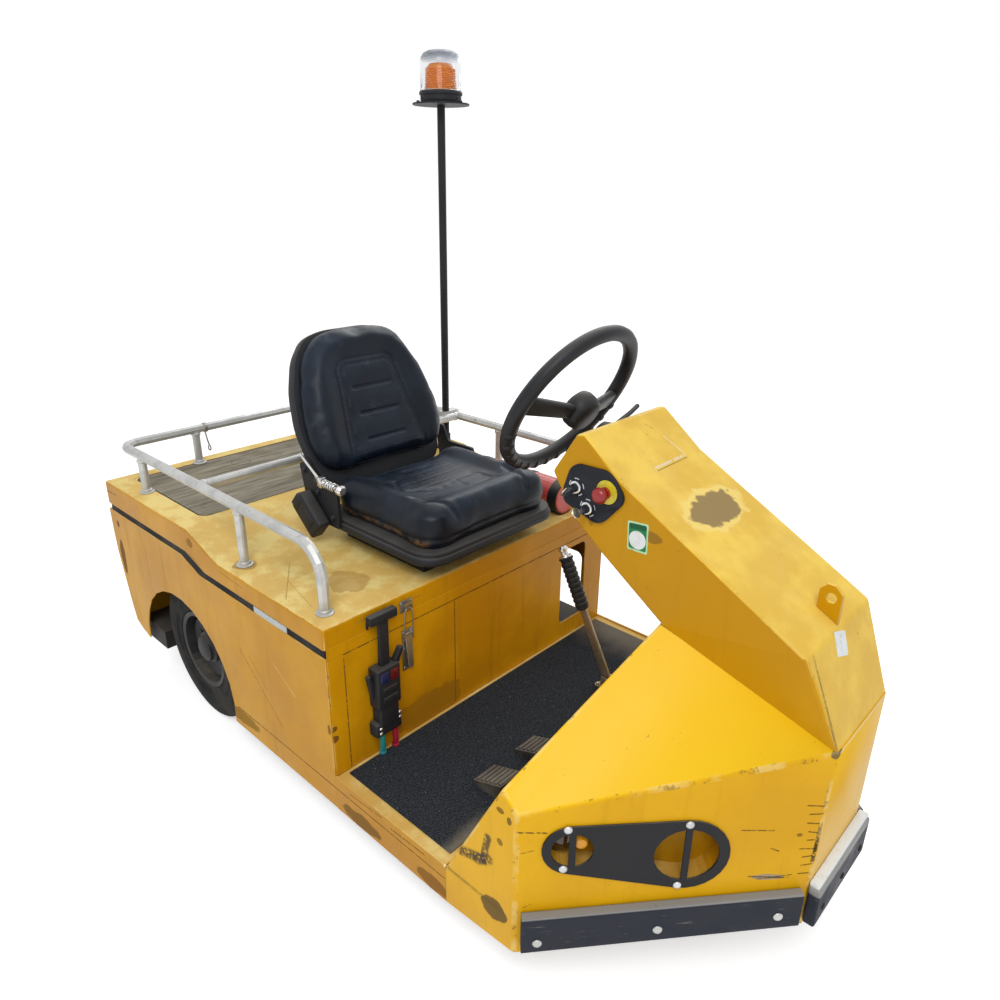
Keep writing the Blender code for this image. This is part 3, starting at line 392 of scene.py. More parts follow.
plateMarks = [
    ("line", shade(250, 236, 180), 0.75, (-0.48, -0.458, 0.168), (0.48, -0.458, 0.168), 0.004),
    ("line", ink, 0.7, (-0.48, -0.46, 0.137), (-0.48, -0.112, 0.137), 0.0025),
    ("line", shade(70, 58, 44), 0.7, (-0.48, -0.40, 0.155), (-0.48, -0.30, 0.150), 0.003),
    ("line", shade(70, 58, 44), 0.6, (-0.48, -0.27, 0.160), (-0.48, -0.16, 0.152), 0.0025),
    ("blot", shade(96, 72, 40), 0.7, (-0.48, -0.20, 0.10), (0.01, 0.07, 0.02)),
    ("blot", rust, 0.6, (-0.48, -0.42, 0.10), (0.01, 0.05, 0.02)),
]

deckPaint = yellowPaint("deck_paint", tone=shade(210, 152, 6), dusty=1.0, marks=deckMarks)
sidePaint = yellowPaint("side_paint", tone=shade(208, 152, 2), deep=shade(192, 134, 0), marks=sideMarks)
wallPaint = yellowPaint("wall_paint", tone=shade(218, 160, 8), deep=shade(192, 134, 2), streaks=0.4,
                        marks=wallMarks)
# The nose's paint takes a brighter tone and deep than the other yellow panels: a lit copy of the same paint,
# painted light on the nose
litNosePaint = yellowPaint("nose_paint_lit", (noseFront, noseCrownHighlight), tone=shade(230, 176, 6),
                        deep=shade(216, 160, 4), dusty=0.1, streaks=0.12, marks=noseMarks)
columnPaint = yellowPaint("column_paint", (columnTop,), tone=shade(206, 152, 2), deep=shade(194, 140, 2),
                          dusty=0.25, streaks=0.12, marks=columnMarks)
platePaint = yellowPaint("plate_paint", tone=shade(206, 150, 8), dusty=0.8, chips=0.9, marks=plateMarks)
# The lamp pockets' paint takes a much darker deep tone: painted shade inside the recessed pockets
shadedPocketPaint = yellowPaint("pocket_paint_shaded", tone=shade(204, 148, 6), deep=shade(150, 104, 10), streaks=0.5)
print("yellow paints mixed")

# The other finishes


def darkPaint(name, tone, worn, chipped=0.35, rough=0.42):
    coat = Finish(name, Specular_IOR_Level=0.25)
    cloud = coat.smooth(coat.noise(9, 4, 0.6), 0.4, 0.7)
    dust = coat.smooth(coat.facing("Z"), 0.5, 0.95) * (0.25 + 0.3 * cloud)
    chips = coat.smooth(coat.noise(52, 5, 0.75), 0.66, 0.7) * chipped
    colour = coat.mix(cloud * 0.5, tone, worn)
    colour = coat.mix(dust, colour, shade(128, 120, 106))
    colour = coat.mix(chips, colour, shade(104, 74, 52))
    height = coat.noise(190, 3) * 0.4 - chips
    return coat.give(Base_Color=colour, Roughness=rough + 0.2 * cloud + 0.25 * dust,
                     Normal=coat.bump(height, 0.25, 0.001))


def mouldedPlastic(name, tone, rough=0.45, grain=420):
    shell = Finish(name, Specular_IOR_Level=0.25)
    cloud = shell.noise(12, 3)
    dust = shell.smooth(shell.facing("Z"), 0.4, 0.95) * (0.12 + 0.25 * cloud)
    colour = shell.mix(dust, shell.mix(cloud * 0.4, tone, shade(58, 60, 66)), shade(120, 116, 108))
    return shell.give(Base_Color=colour, Roughness=rough + 0.18 * cloud + 0.2 * dust,
                      Normal=shell.bump(shell.noise(grain, 2), 0.18, 0.0006))


def rubber(name, tone, dusty=0.35, rough=0.78):
    block = Finish(name, Specular_IOR_Level=0.15)
    cloud = block.smooth(block.noise(8, 5, 0.65), 0.35, 0.75)
    dust = block.clamp(cloud * dusty + block.smooth(block.facing("Z"), 0.5, 0.95) * dusty)
    colour = block.mix(dust, tone, shade(122, 116, 106))
    height = block.noise(140, 4, 0.6)
    return block.give(Base_Color=colour, Roughness=rough, Normal=block.bump(height, 0.25, 0.0012))


def galvanised(name, tone=shade(196, 196, 192)):
    zinc = Finish(name, Metallic=0.55)
    flakes = zinc.node("ShaderNodeTexVoronoi", None, {"Vector": zinc.place, "Scale": 150.0}, "Color")
    spangle = zinc.node("ShaderNodeSeparateColor", None, {0: flakes})
    cloud = zinc.smooth(zinc.noise(16, 4, 0.6), 0.35, 0.7)
    colour = zinc.mix(spangle * 0.45, tone, shade(206, 208, 210))
    colour = zinc.mix(cloud * 0.35, colour, shade(120, 122, 124))
    grime = zinc.smooth(zinc.noise(70, 4, 0.7), 0.62, 0.72) * 0.5
    colour = zinc.mix(grime, colour, shade(96, 84, 70))
    return zinc.give(Base_Color=colour, Roughness=0.34 + 0.16 * cloud + 0.2 * grime,
                     Normal=zinc.bump(zinc.noise(90, 3), 0.1, 0.001))


def steel(name, tone=shade(168, 166, 160), rusty=0.4, rough=0.34):
    metal = Finish(name)
    cloud = metal.smooth(metal.noise(26, 4, 0.65), 0.45, 0.7)
    red = metal.smooth(metal.noise(58, 5, 0.7), 0.55, 0.68) * rusty
    colour = metal.mix(cloud * 0.4, tone, shade(112, 106, 98))
    colour = metal.mix(red, colour, rust)
    return metal.give(Base_Color=colour, Metallic=0.9 - 0.8 * red, Roughness=rough + 0.2 * cloud + 0.35 * red,
                      Normal=metal.bump(metal.noise(120, 3), 0.15, 0.0008))


def greyPlywood(tray):
    low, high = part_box(tray)
    half = (high.x, (high.y - low.y) / 2)
    board = Finish("grey_plywood", Specular_IOR_Level=0.15)
    grain = board.noise(1.0, 6, 0.7, board.stretched(5.5, 60, 30))
    figure = board.noise(1.0, 3, 0.6, board.stretched(2.2, 16, 8))
    colour = board.mix(board.smooth(grain, 0.32, 0.66), shade(104, 98, 84), shade(150, 144, 128))
    colour = board.mix(board.smooth(figure, 0.48, 0.72) * 0.55, colour, shade(170, 160, 138))
    stain = board.smooth(board.noise(5.5, 5, 0.65), 0.54, 0.68) * 0.45
    colour = board.mix(stain, colour, shade(98, 82, 56))
    ring = board.vector("DISTANCE", board.place, (-0.13, 0.80, high.z), 1)
    ring = board.smooth(board.math("ABSOLUTE", ring - 0.027), 0.0022, 0.0010) * board.noise(40)
    colour = board.mix(ring * 0.9, colour, shade(70, 62, 48))
    edge = board.outside(board.x, board.y, (0, (high.y + low.y) / 2), half, 0.028)
    line = board.smooth(edge, -0.0042, -0.0028)
    beyond = board.smooth(edge, 0.0, 0.0008)
    colour = board.mix(line, colour, shade(24, 22, 20))
    colour = board.mix(beyond, colour, shade(222, 198, 124))
    height = grain * 0.6 + board.noise(210, 2) * 0.3 - line
    return board.give(Base_Color=colour, Roughness=0.82 - 0.2 * line, Normal=board.bump(height, 0.35, 0.001))


def speckledMat():
    carpet = Finish("floor_mat", Specular_IOR_Level=0.1)
    bits = carpet.noise(330, 3, 0.7)
    colour = carpet.mix(carpet.smooth(bits, 0.4, 0.62), shade(27, 31, 36), shade(62, 67, 74))
    grit = carpet.smooth(carpet.noise(95, 4, 0.8), 0.64, 0.7)
    colour = carpet.mix(grit * 0.75, colour, shade(128, 130, 132))
    rim = carpet.smooth(carpet.x + carpet.noise(9, 3) * 0.12, 0.36, 0.50)
    front = carpet.smooth(carpet.y + carpet.noise(12, 3) * 0.06, -0.375, -0.425)
    colour = carpet.mix(carpet.most(rim, front) * 0.5, colour, shade(150, 142, 126))
    ribs = carpet.math("SINE", carpet.y * (2 * math.pi / 0.012))
    height = bits + carpet.smooth(ribs, -0.4, 0.4) * 0.4
    return carpet.give(Base_Color=colour, Roughness=0.9, Normal=carpet.bump(height, 0.5, 0.0014))


def seatVinyl(name, tone, sheen):
    hide = Finish(name, Specular_IOR_Level=0.22)
    cells = hide.node("ShaderNodeTexVoronoi", {"feature": "DISTANCE_TO_EDGE"},
                      {"Vector": hide.place, "Scale": 340.0})
    cloud = hide.smooth(hide.noise(7, 4, 0.6), 0.35, 0.7)
    colour = hide.mix(cloud * 0.55, tone, sheen)
    wear = hide.smooth(hide.noise(23, 5, 0.7), 0.58, 0.74)
    dust = hide.smooth(hide.facing("Z"), 0.3, 0.95) * (0.02 + 0.10 * cloud)
    colour = hide.mix(wear * 0.2 + dust, colour, shade(72, 88, 106))
    side = hide.smooth(hide.z, 0.650, 0.628) * hide.smooth(hide.x, -0.185, -0.205)
    tan = side * hide.smooth(hide.noise(30, 4, 0.7), 0.42, 0.6)
    colour = hide.mix(tan * 0.75, colour, shade(124, 92, 52))
    seam = hide.node("ShaderNodeAttribute", {"attribute_name": "seam"}, None, "Fac")
    colour = hide.mix(hide.smooth(seam, 0.5, 1.0) * 0.6, colour, shade(8, 10, 14))
    height = hide.smooth(cells, 0.0, 0.12) * 0.6 + hide.noise(36, 4) * 0.8
    return hide.give(Base_Color=colour, Roughness=0.30 + 0.14 * cloud + wear * 0.15 + tan * 0.2,
                     Normal=hide.bump(height, 0.22, 0.0008))


def fadedRed():
    can = Finish("faded_red")
    cloud = can.smooth(can.noise(13, 4, 0.6), 0.38, 0.68)
    colour = can.mix(cloud, shade(178, 62, 58), shade(206, 106, 96))
    colour = can.mix(can.smooth(can.noise(60, 5, 0.75), 0.64, 0.68), colour, shade(60, 40, 36))
    colour = can.mix(can.smooth(can.noise(44, 4, 0.75, can.stretched(1, 1.3, 1)), 0.66, 0.7), colour, chalk)
    return can.give(Base_Color=colour, Roughness=0.42 + 0.15 * cloud, Coat_Weight=0.2 - 0.15 * cloud,
                    Normal=can.bump(can.noise(90, 3), 0.12, 0.001))


def plainGloss(name, tone, darker, rough=0.25, scale=30):
    gloss = Finish(name)
    cloud = gloss.smooth(gloss.noise(scale, 4, 0.6), 0.4, 0.7)
    return gloss.give(Base_Color=gloss.mix(cloud, tone, darker), Roughness=rough + 0.2 * cloud,
                      Coat_Weight=0.3 - 0.2 * cloud, Normal=gloss.bump(gloss.noise(150, 2), 0.06, 0.0005))


def amberGlass():
    lens = Finish("amber_lens", Transmission_Weight=0.35, IOR=1.45)
    cloud = lens.noise(22, 3)
    colour = lens.mix(cloud, shade(240, 128, 14), shade(255, 158, 40))
    return lens.give(Base_Color=colour, Roughness=0.16 + 0.1 * cloud,
                     Normal=lens.bump(lens.noise(80, 2), 0.05, 0.0005))


def clearDome(top):
    dome = Finish("clear_cover", Transmission_Weight=1.0, IOR=1.3)
    cloud = dome.noise(30, 4)
    frost = dome.smooth(dome.z + cloud * 0.008, top - 0.026, top - 0.010)
    colour = dome.mix(frost, shade(246, 247, 248), shade(172, 176, 182))
    return dome.give(Base_Color=colour, Roughness=0.04 + 0.5 * frost + cloud * 0.04,
                     Normal=dome.bump(cloud, 0.06, 0.0006))


def bumperSkin(name, top, tone, strip=0.0):
    skin = Finish(name, Specular_IOR_Level=0.25)
    cloud = skin.smooth(skin.noise(14, 5, 0.65), 0.35, 0.7)
    up = skin.smooth(skin.facing("Z"), 0.3, 0.8)
    upper = skin.smooth(skin.z + skin.noise(30, 3) * 0.008, top - 0.004, top + 0.002)
    colour = skin.mix(cloud * 0.4, tone, shade(52, 56, 66))
    colour = skin.mix(skin.clamp(up * 0.8 + upper * strip), colour, shade(150, 150, 148))
    scrape = skin.smooth(skin.noise(1.0, 4, 0.7, skin.stretched(20, 20, 150)), 0.62, 0.72) * 0.5
    colour = skin.mix(scrape, colour, shade(120, 116, 108))
    height = skin.noise(22, 3) + scrape * 0.3
    return skin.give(Base_Color=colour, Roughness=0.5 + 0.25 * cloud, Normal=skin.bump(height, 0.35, 0.002))


blackCoat = darkPaint("black_paint", shade(26, 27, 30), shade(44, 45, 48))
underCoat = darkPaint("under_paint", shade(32, 31, 30), shade(58, 54, 48), 0.6, 0.6)
guardCoat = darkPaint("guard_paint", shade(22, 23, 26), shade(40, 41, 44), 0.2, 0.5)
darkPlastic = mouldedPlastic("dark_plastic", shade(26, 27, 31))
wheelPlastic = mouldedPlastic("wheel_plastic", shade(22, 23, 26), 0.36, 260)
blackRubber = rubber("black_rubber", shade(26, 26, 28), 0.25)
pedalRubber = rubber("pedal_rubber", shade(30, 31, 33), 0.5)
tyreRubber = rubber("tyre_rubber", shade(20, 21, 23), 0.22, 0.85)
tubeZinc = galvanised("galvanised_tube")
bareSteel = steel("bare_steel")
chrome = steel("chrome", shade(214, 214, 214), 0.05, 0.16)
rimPaint = darkPaint("rim_paint", shade(38, 38, 40), shade(62, 60, 56), 0.4, 0.5)
trayWood = greyPlywood("cargo_tray")
matFinish = speckledMat()
vinyl = seatVinyl("seat_vinyl", shade(13, 20, 30), shade(24, 36, 52))
fadedPaint = fadedRed()
redPlastic = plainGloss("red_plastic", shade(150, 16, 22), shade(118, 12, 18))
amber = amberGlass()
coverClear = clearDome(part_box("beacon_cover")[1].z)
cornerSkin = bumperSkin("corner_bumper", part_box("corner_bumper_right")[1].z, shade(24, 28, 40))
frontSkin = bumperSkin("front_bumper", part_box("front_bumper")[1].z - 0.008, shade(28, 31, 42), 0.9)
print("other finishes mixed")

bySlot = {
    "yellow_paint": platePaint, "black_paint": blackCoat, "black_rubber": blackRubber,
    "tyre_rubber": tyreRubber, "galvanised_tube": tubeZinc, "bare_steel": bareSteel,
    "grey_plywood": trayWood, "seat_vinyl": vinyl, "dark_plastic": darkPlastic, "red_paint": fadedPaint,
    "red_plastic": redPlastic, "amber_lens": amber, "clear_cover": coverClear, "floor_mat": matFinish,
}
byNode = {
    "lamp_pocket_left": shadedPocketPaint, "lamp_pocket_right": shadedPocketPaint, "lamp_guard_left": guardCoat,
    "lamp_guard_right": guardCoat, "corner_bumper_left": cornerSkin, "corner_bumper_right": cornerSkin,
    "front_bumper": frontSkin, "accelerator_pedal": pedalRubber, "brake_pedal": pedalRubber,
    "steering_wheel": wheelPlastic, "main_frame": underCoat, "drive_unit": underCoat,
    "fork_carrier": underCoat, "steering_fork": underCoat, "rear_left_rim": rimPaint,
    "rear_right_rim": rimPaint, "front_rim": rimPaint, "lifting_tab": columnPaint,
}
slotOf = {name: node.material_slots[0].material.name for name, node in nodes.items()}
bodyOf = {name: node["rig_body"] for name, node in nodes.items()}
for name, node in nodes.items():
    node.material_slots[0].material = byNode.get(name, bySlot[slotOf[name]])
print("carried-over nodes painted")

# Shapes: each maker returns a bmesh, and addPiece turns one into a finished piece


def aimed(origin, axis=(0, 0, 1)):
    turn = Vector(axis).to_track_quat("Z", "Y").to_matrix().to_4x4()
    return Matrix.Translation(origin) @ turn


def put(shape, place):
    bmesh.ops.transform(shape, matrix=place, verts=shape.verts)
    return shape


def gather(*shapes):
    whole = bmesh.new()
    for shape in shapes:
        mesh = bpy.data.meshes.new("part")
        shape.to_mesh(mesh)
        whole.from_mesh(mesh)
        bpy.data.meshes.remove(mesh)
        shape.free()
    return whole


def turned(profile, steps=32):
    shape = bmesh.new()
    line = [shape.verts.new((radius, 0, height)) for radius, height in profile]
    edges = [shape.edges.new(pair) for pair in zip(line, line[1:])]
    bmesh.ops.spin(shape, geom=line + edges, axis=(0, 0, 1), cent=(0, 0, 0), angle=2 * math.pi,
                   steps=steps, use_merge=True)
    bmesh.ops.remove_doubles(shape, verts=shape.verts, dist=1e-6)
    bmesh.ops.recalc_face_normals(shape, faces=shape.faces)
    return shape


def block(low, high, bevel=0.0015, segments=2):
    shape = bmesh.new()
    bmesh.ops.create_cube(shape, size=1)
    size = Vector(high) - Vector(low)
    middle = (Vector(high) + Vector(low)) / 2
    put(shape, Matrix.Translation(middle) @ Matrix.Diagonal((*size, 1)))
    bmesh.ops.bevel(shape, geom=shape.edges[:], offset=bevel, segments=segments, profile=0.5,
                    affect="EDGES", material=-1)
    return shape


def tube(points, radius, sides=12, closed=False, kind="NURBS"):
    data = bpy.data.curves.new("line", "CURVE")
    data.dimensions = "3D"
    data.bevel_depth = radius
    data.bevel_resolution = max(1, sides // 4)
    data.resolution_u = 5
    data.use_fill_caps = not closed
    spline = data.splines.new(kind)
    spline.points.add(len(points) - 1)
    for knot, place in zip(spline.points, points):
        knot.co = (*place, 1)
    spline.use_cyclic_u = closed
    spline.order_u = 3
    spline.use_endpoint_u = not closed
    holder = bpy.data.objects.new("line", data)
    mesh = bpy.data.meshes.new_from_object(holder)
    shape = bmesh.new()
    shape.from_mesh(mesh)
    bpy.data.meshes.remove(mesh)
    bpy.data.objects.remove(holder)
    bpy.data.curves.remove(data)
    return shape


# A flat plate from its corners, with rounded corners, thickened along its normal
def flatPlate(corners, thickness, radius=0.003):
    shape = bmesh.new()
    face = shape.faces.new([shape.verts.new(corner) for corner in corners])
    face.normal_update()
    normal = face.normal.copy()
    if radius:
        bmesh.ops.bevel(shape, geom=shape.verts[:], offset=radius, segments=4, profile=0.5,
                        affect="VERTICES", material=-1)
    grown = bmesh.ops.extrude_face_region(shape, geom=shape.faces[:])
    moved = [item for item in grown["geom"] if isinstance(item, bmesh.types.BMVert)]
    bmesh.ops.translate(shape, vec=normal * thickness, verts=moved)
    bmesh.ops.recalc_face_normals(shape, faces=shape.faces)
    return shape


def domeBolt(place, axis, radius, height):
    profile = [(0, height), (radius * 0.5, height * 0.93), (radius * 0.85, height * 0.6),
               (radius, height * 0.2),
               (radius, 0), (0, 0)]
    return put(turned(profile, 16), aimed(place, axis))


def hexBolt(place, axis, radius, washer=1.35):
    head = bmesh.new()
    bmesh.ops.create_cone(head, cap_ends=True, segments=6, radius1=radius, radius2=radius, depth=radius * 0.9)
    put(head, Matrix.Translation((0, 0, radius * 0.62)))
    bmesh.ops.bevel(head, geom=head.edges[:], offset=radius * 0.12, segments=2, profile=0.5, affect="EDGES",
                    material=-1)
    disc = turned([(0, radius * 0.2), (radius * washer * 0.94, radius * 0.2),
                   (radius * washer, radius * 0.12),
                   (radius * washer, 0), (0, 0)], 20)
    return put(gather(disc, head), aimed(place, axis))


def addPiece(name, shape, finish, body, replaced=(), crease=35):
    mesh = bpy.data.meshes.new(name)
    shape.to_mesh(mesh)
    shape.free()
    mesh.materials.append(finish)
    mesh.shade_smooth()
    mesh.set_sharp_from_angle(angle=math.radians(crease))
    piece = bpy.data.objects.new(name, mesh)
    scene.collection.objects.link(piece)
    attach(piece, body)
    if replaced:
        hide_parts(*replaced)
    return piece


# Pressed plates: a merged copy of the CAD plate with eased edges, which carry the chips

easeLook = {
    "broad": 0.005,
    "fine": 0.0012,
    "broadFace": 0.006,
    "sharp": 24,
}


def merged(node):
    shape = bmesh.new()
    shape.from_mesh(nodes[node].data)
    bmesh.ops.remove_doubles(shape, verts=shape.verts, dist=2e-5)
    bmesh.ops.dissolve_limit(shape, angle_limit=math.radians(0.5), verts=shape.verts, edges=shape.edges)
    return shape


def eased(node, finish, broad=None, fine=None):
    shape = merged(node)
    rim = shape.faces.layers.float.new("rim")
    broad = easeLook["broad"] if broad is None else broad
    fine = easeLook["fine"] if fine is None else fine
    for width, wide in ((broad, True), (fine, False)):
        edges = [edge for edge in shape.edges if len(edge.link_faces) == 2
                 and edge.calc_face_angle(0) > math.radians(easeLook["sharp"])
                 and all(face[rim] == 0 for face in edge.link_faces)
                 and (min(face.calc_area() for face in edge.link_faces) > easeLook["broadFace"]) == wide]
        if edges and width:
            made = bmesh.ops.bevel(shape, geom=edges, offset=width, segments=3 if wide else 2, profile=0.5,
                                   affect="EDGES", clamp_overlap=True, material=-1)
            for face in made["faces"]:
                face[rim] = 1
    piece = addPiece(f"{node}_finished", shape, finish, bodyOf[node], (node,), 50)
    evened = piece.modifiers.new("even", "WEIGHTED_NORMAL")
    evened.keep_sharp = True
    return piece


for node, finish, broad in (("nose_shell", litNosePaint, 0.006), ("steering_column", columnPaint, 0.0),
                            ("hood", deckPaint, 0.0), ("side_panel_right", sidePaint, 0.0015),
                            ("side_panel_left", sidePaint, 0.0015), ("rear_panel", sidePaint, 0.002),
                            ("battery_wall", wallPaint, 0.0015), ("floor_plate", platePaint, 0.003),
                            ("corner_bumper_left", cornerSkin, 0.005),
                            ("corner_bumper_right", cornerSkin, 0.005), ("lamp_guard_left", guardCoat, 0.001),
                            ("lamp_guard_right", guardCoat, 0.001), ("lifting_tab", columnPaint, 0.001)):
    eased(node, finish, broad)
print("plates eased")

# Seat: two vinyl pads puffed by cloth under pressure, then pressed and creased

padLook = {
    "voxel": 0.005,
    "pressure": 4.0,
    "frames": 20,
    "cap": 0.014,
    "taut": 30,
}
cushionLook = {
    "low": (-0.214, -0.143, 0.6125),
    "high": (0.214, 0.234, 0.690),
    "corner": 0.062,
    "edge": 0.022,
    "sink": 0.017,
    "roll": 0.007,
    "insert": ((0.062, 0.000), (0.038, 0.030), 0.010),
}
backLook = {
    "outline": ((0.165, 0.0), (0.203, 0.045), (0.211, 0.125), (0.196, 0.215), (0.163, 0.295), (0.118, 0.345),
                (0.060, 0.358)),
    "front": -0.062,
    "foot": (0, 0.287, 0.680),
    "recline": 24,
    "sink": 0.012,
}
backPlace = Matrix.Translation(backLook["foot"]) @ Matrix.Rotation(-math.radians(backLook["recline"]), 4, "X")
backPlaceInverse = backPlace.inverted()


def bulge(value, low, high):
    share = min(1, max(0, (value - low) / (high - low)))
    return share * share * (3 - 2 * share)


def valley(distance, width):
    return math.exp(-(distance / width) ** 2)


def fromRectangle(a, b, centre, half, radius):
    da, db = abs(a - centre[0]) - half[0] + radius, abs(b - centre[1]) - half[1] + radius
    return math.hypot(max(da, 0), max(db, 0)) + min(max(da, db), 0) - radius


def fromSegment(point, start, end):
    run = end - start
    share = min(1, max(0, (point - start).dot(run) / run.length_squared))
    return (point - start - run * share).length


def puffed(name, shape, look):
    mesh = bpy.data.meshes.new(name)
    shape.to_mesh(mesh)
    shape.free()
    pad = bpy.data.objects.new(name, mesh)
    scene.collection.objects.link(pad)
    remesh = pad.modifiers.new("remesh", "REMESH")
    remesh.mode = "VOXEL"
    remesh.voxel_size = look["voxel"]
    graph = bpy.context.evaluated_depsgraph_get()
    pad.data = bpy.data.meshes.new_from_object(pad.evaluated_get(graph))
    pad.modifiers.clear()
    start = [vert.co.copy() for vert in pad.data.vertices]
    cloth = pad.modifiers.new("puff", "CLOTH")
    cloth.settings.quality = 4
    cloth.settings.use_pressure = True
    cloth.settings.uniform_pressure_force = look["pressure"]
    cloth.settings.effector_weights.gravity = 0
    cloth.collision_settings.use_collision = False
    for number in range(1, look["frames"] + 1):
        scene.frame_set(number)
    graph = bpy.context.evaluated_depsgraph_get()
    puffedMesh = pad.evaluated_get(graph).data
    moved = [vert.co.copy() for vert in puffedMesh.vertices]
    pad.modifiers.clear()
    scene.frame_set(1)
    for vert, before, after in zip(pad.data.vertices, start, moved):
        step = after - before
        vert.co = before + step * min(1, look["cap"] / max(step.length, 1e-6))
    # The foam under the vinyl holds it taut, so small folds are drawn out
    taut = pad.modifiers.new("taut", "SMOOTH")
    taut.factor, taut.iterations = 0.5, look["taut"]
    graph = bpy.context.evaluated_depsgraph_get()
    pad.data = bpy.data.meshes.new_from_object(pad.evaluated_get(graph))
    pad.modifiers.clear()
    return pad


def pressed(pad, press):
    seam = pad.data.attributes.new("seam", "FLOAT", "POINT")
    for vert, value in zip(pad.data.vertices, seam.data):
        shift, depth = press(vert.co, vert.normal)
        vert.co += shift
        value.value = depth
    pad.data.update()


def finishPad(pad, finish, body, node):
    pad.data.materials.clear()
    pad.data.materials.append(finish)
    pad.data.shade_smooth()
    finer = pad.modifiers.new("finer", "SUBSURF")
    finer.levels = finer.render_levels = 1
    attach(pad, body)
    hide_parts(node)


cushionCreases = [(Vector(start), Vector(end), depth) for start, end, depth in (
    ((-0.155, -0.020), (-0.120, -0.125), 0.0075), ((0.155, -0.020), (0.118, -0.125), 0.0075),
    ((-0.120, -0.058), (0.125, -0.055), 0.0045), ((-0.030, 0.010), (0.025, -0.050), 0.0028),
    ((0.000, 0.018), (0.055, -0.052), 0.0026), ((-0.062, 0.020), (-0.005, -0.048), 0.0026),
    ((-0.110, 0.050), (-0.030, 0.012), 0.0028), ((-0.09, 0.120), (-0.125, 0.060), 0.0026),
    ((0.085, 0.035), (0.11, -0.045), 0.0022), ((-0.03, 0.155), (0.045, 0.150), 0.0022))]


def pressCushion(place, normal):
    top = bulge(normal.z, 0.2, 0.75)
    half = cushionLook["high"][0]
    across = abs(place.x) / half
    along = place.y
    bowl = (1 - bulge(across, 0.42, 0.86)) * bulge(along, -0.105, -0.010)
    roll = bulge(across, 0.55, 0.8) * (1 - bulge(across, 0.84, 1.0))
    front = (1 - bulge(along, -0.075, -0.035)) * bulge(along, -0.145, -0.11)
    drop = cushionLook["sink"] * bowl - cushionLook["roll"] * max(roll, front)
    flat = Vector((place.x, place.y))
    depth = sum(deep * valley(fromSegment(flat, start, end), 0.007) for start, end, deep in cushionCreases)
    centre, size, radius = cushionLook["insert"]
    seam = valley(fromRectangle(place.x, place.y, centre, size, radius), 0.0032)
    drop += depth + 0.0022 * seam
    side = valley(place.z - 0.640, 0.004) * (1 - top)
    inward = Vector((-normal.x, -normal.y, 0)) * 0.0035 * side
    return Vector((0, 0, -drop * top)) + inward, max(seam * top * 0.7, side)


def pressBack(place, normal):
    local = backPlaceInverse @ place
    facing = bulge(-(backPlace.to_3x3().inverted() @ normal).y, 0.2, 0.75)
    x, z = local.x, local.z
    half = 0.092 + 0.028 * (1 - bulge(z, 0.0, 0.27))
    panel = fromRectangle(x, z, (0, 0.135), (half, 0.137), 0.035)
    groove = valley(panel, 0.0045)
    inner = valley(panel + 0.016, 0.0035)
    bolster = bulge(panel, 0.0, 0.05)
    reach = 1 - bulge(abs(x), 0.056, 0.070)
    cross = sum(valley(z - height, 0.0042) * strength for height, strength in
                ((0.196, 1.0), (0.128, 1.0), (0.060, 0.7))) * reach
    pillow = 0.003 * math.sin((z - 0.060) / 0.068 * math.pi) ** 2 * (panel < -0.016)
    depth = backLook["sink"] * (1 - bolster) + 0.006 * groove + 0.0025 * inner + 0.007 * cross - pillow
    return backPlace.to_3x3() @ Vector((0, depth * facing, 0)), max(groove, cross * 0.9, inner * 0.4) * facing


def roundedBlock(low, high, corner, edge):
    shape = bmesh.new()
    bmesh.ops.create_cube(shape, size=1)
    size, middle = Vector(high) - Vector(low), (Vector(high) + Vector(low)) / 2
    put(shape, Matrix.Translation(middle) @ Matrix.Diagonal((*size, 1)))
    upright = [line for line in shape.edges if abs(line.verts[0].co.z - line.verts[1].co.z) > 1e-4]
    bmesh.ops.bevel(shape, geom=upright, offset=corner, segments=6, profile=0.5, affect="EDGES", material=-1)
    rims = [line for line in shape.edges if abs(line.verts[0].co.z - line.verts[1].co.z) < 1e-4]
    bmesh.ops.bevel(shape, geom=rims, offset=edge, segments=3, profile=0.5, affect="EDGES", material=-1)
    return shape


# The back's outline, rounded, thickened from one local depth to another
def backShape(outline, near, far, edge, ease=0.03):
    shape = bmesh.new()
    ring = [(x, z) for x, z in outline] + [(-x, z) for x, z in reversed(outline)]
    face = shape.faces.new([shape.verts.new((x, near, z)) for x, z in ring])
    bmesh.ops.bevel(shape, geom=shape.verts[:], offset=ease, segments=3, profile=0.5, affect="VERTICES",
                    clamp_overlap=True, material=-1)
    grown = bmesh.ops.extrude_face_region(shape, geom=shape.faces[:])
    moved = [item for item in grown["geom"] if isinstance(item, bmesh.types.BMVert)]
    bmesh.ops.translate(shape, vec=(0, far - near, 0), verts=moved)
    bmesh.ops.recalc_face_normals(shape, faces=shape.faces)
    rims = [line for line in shape.edges if len(line.link_faces) == 2
            and line.calc_face_angle(0) > math.radians(60)]
    bmesh.ops.bevel(shape, geom=rims, offset=edge, segments=3, profile=0.5, affect="EDGES",
                    clamp_overlap=True, material=-1)
    return put(shape, backPlace)


cushion = puffed("cushion_pad", roundedBlock(cushionLook["low"], cushionLook["high"], cushionLook["corner"],
                                             cushionLook["edge"]), padLook)
pressed(cushion, pressCushion)
finishPad(cushion, vinyl, "deck", "seat_cushion")
back = puffed("back_pad", backShape(backLook["outline"], backLook["front"], -0.002, 0.018), padLook)
pressed(back, pressBack)
finishPad(back, vinyl, "deck", "seat_back_pad")
print("seat pads puffed")

shellOutline = [(0.130, -0.058), (0.190, -0.020), *((x + 0.007, z + 0.004) for x,
                                                    z in backLook["outline"][1:])]
addPiece("back_shell", backShape(shellOutline, -0.014, 0.012, 0.004, 0.02), darkPlastic, "deck",
         ("seat_back_shell",), 50)

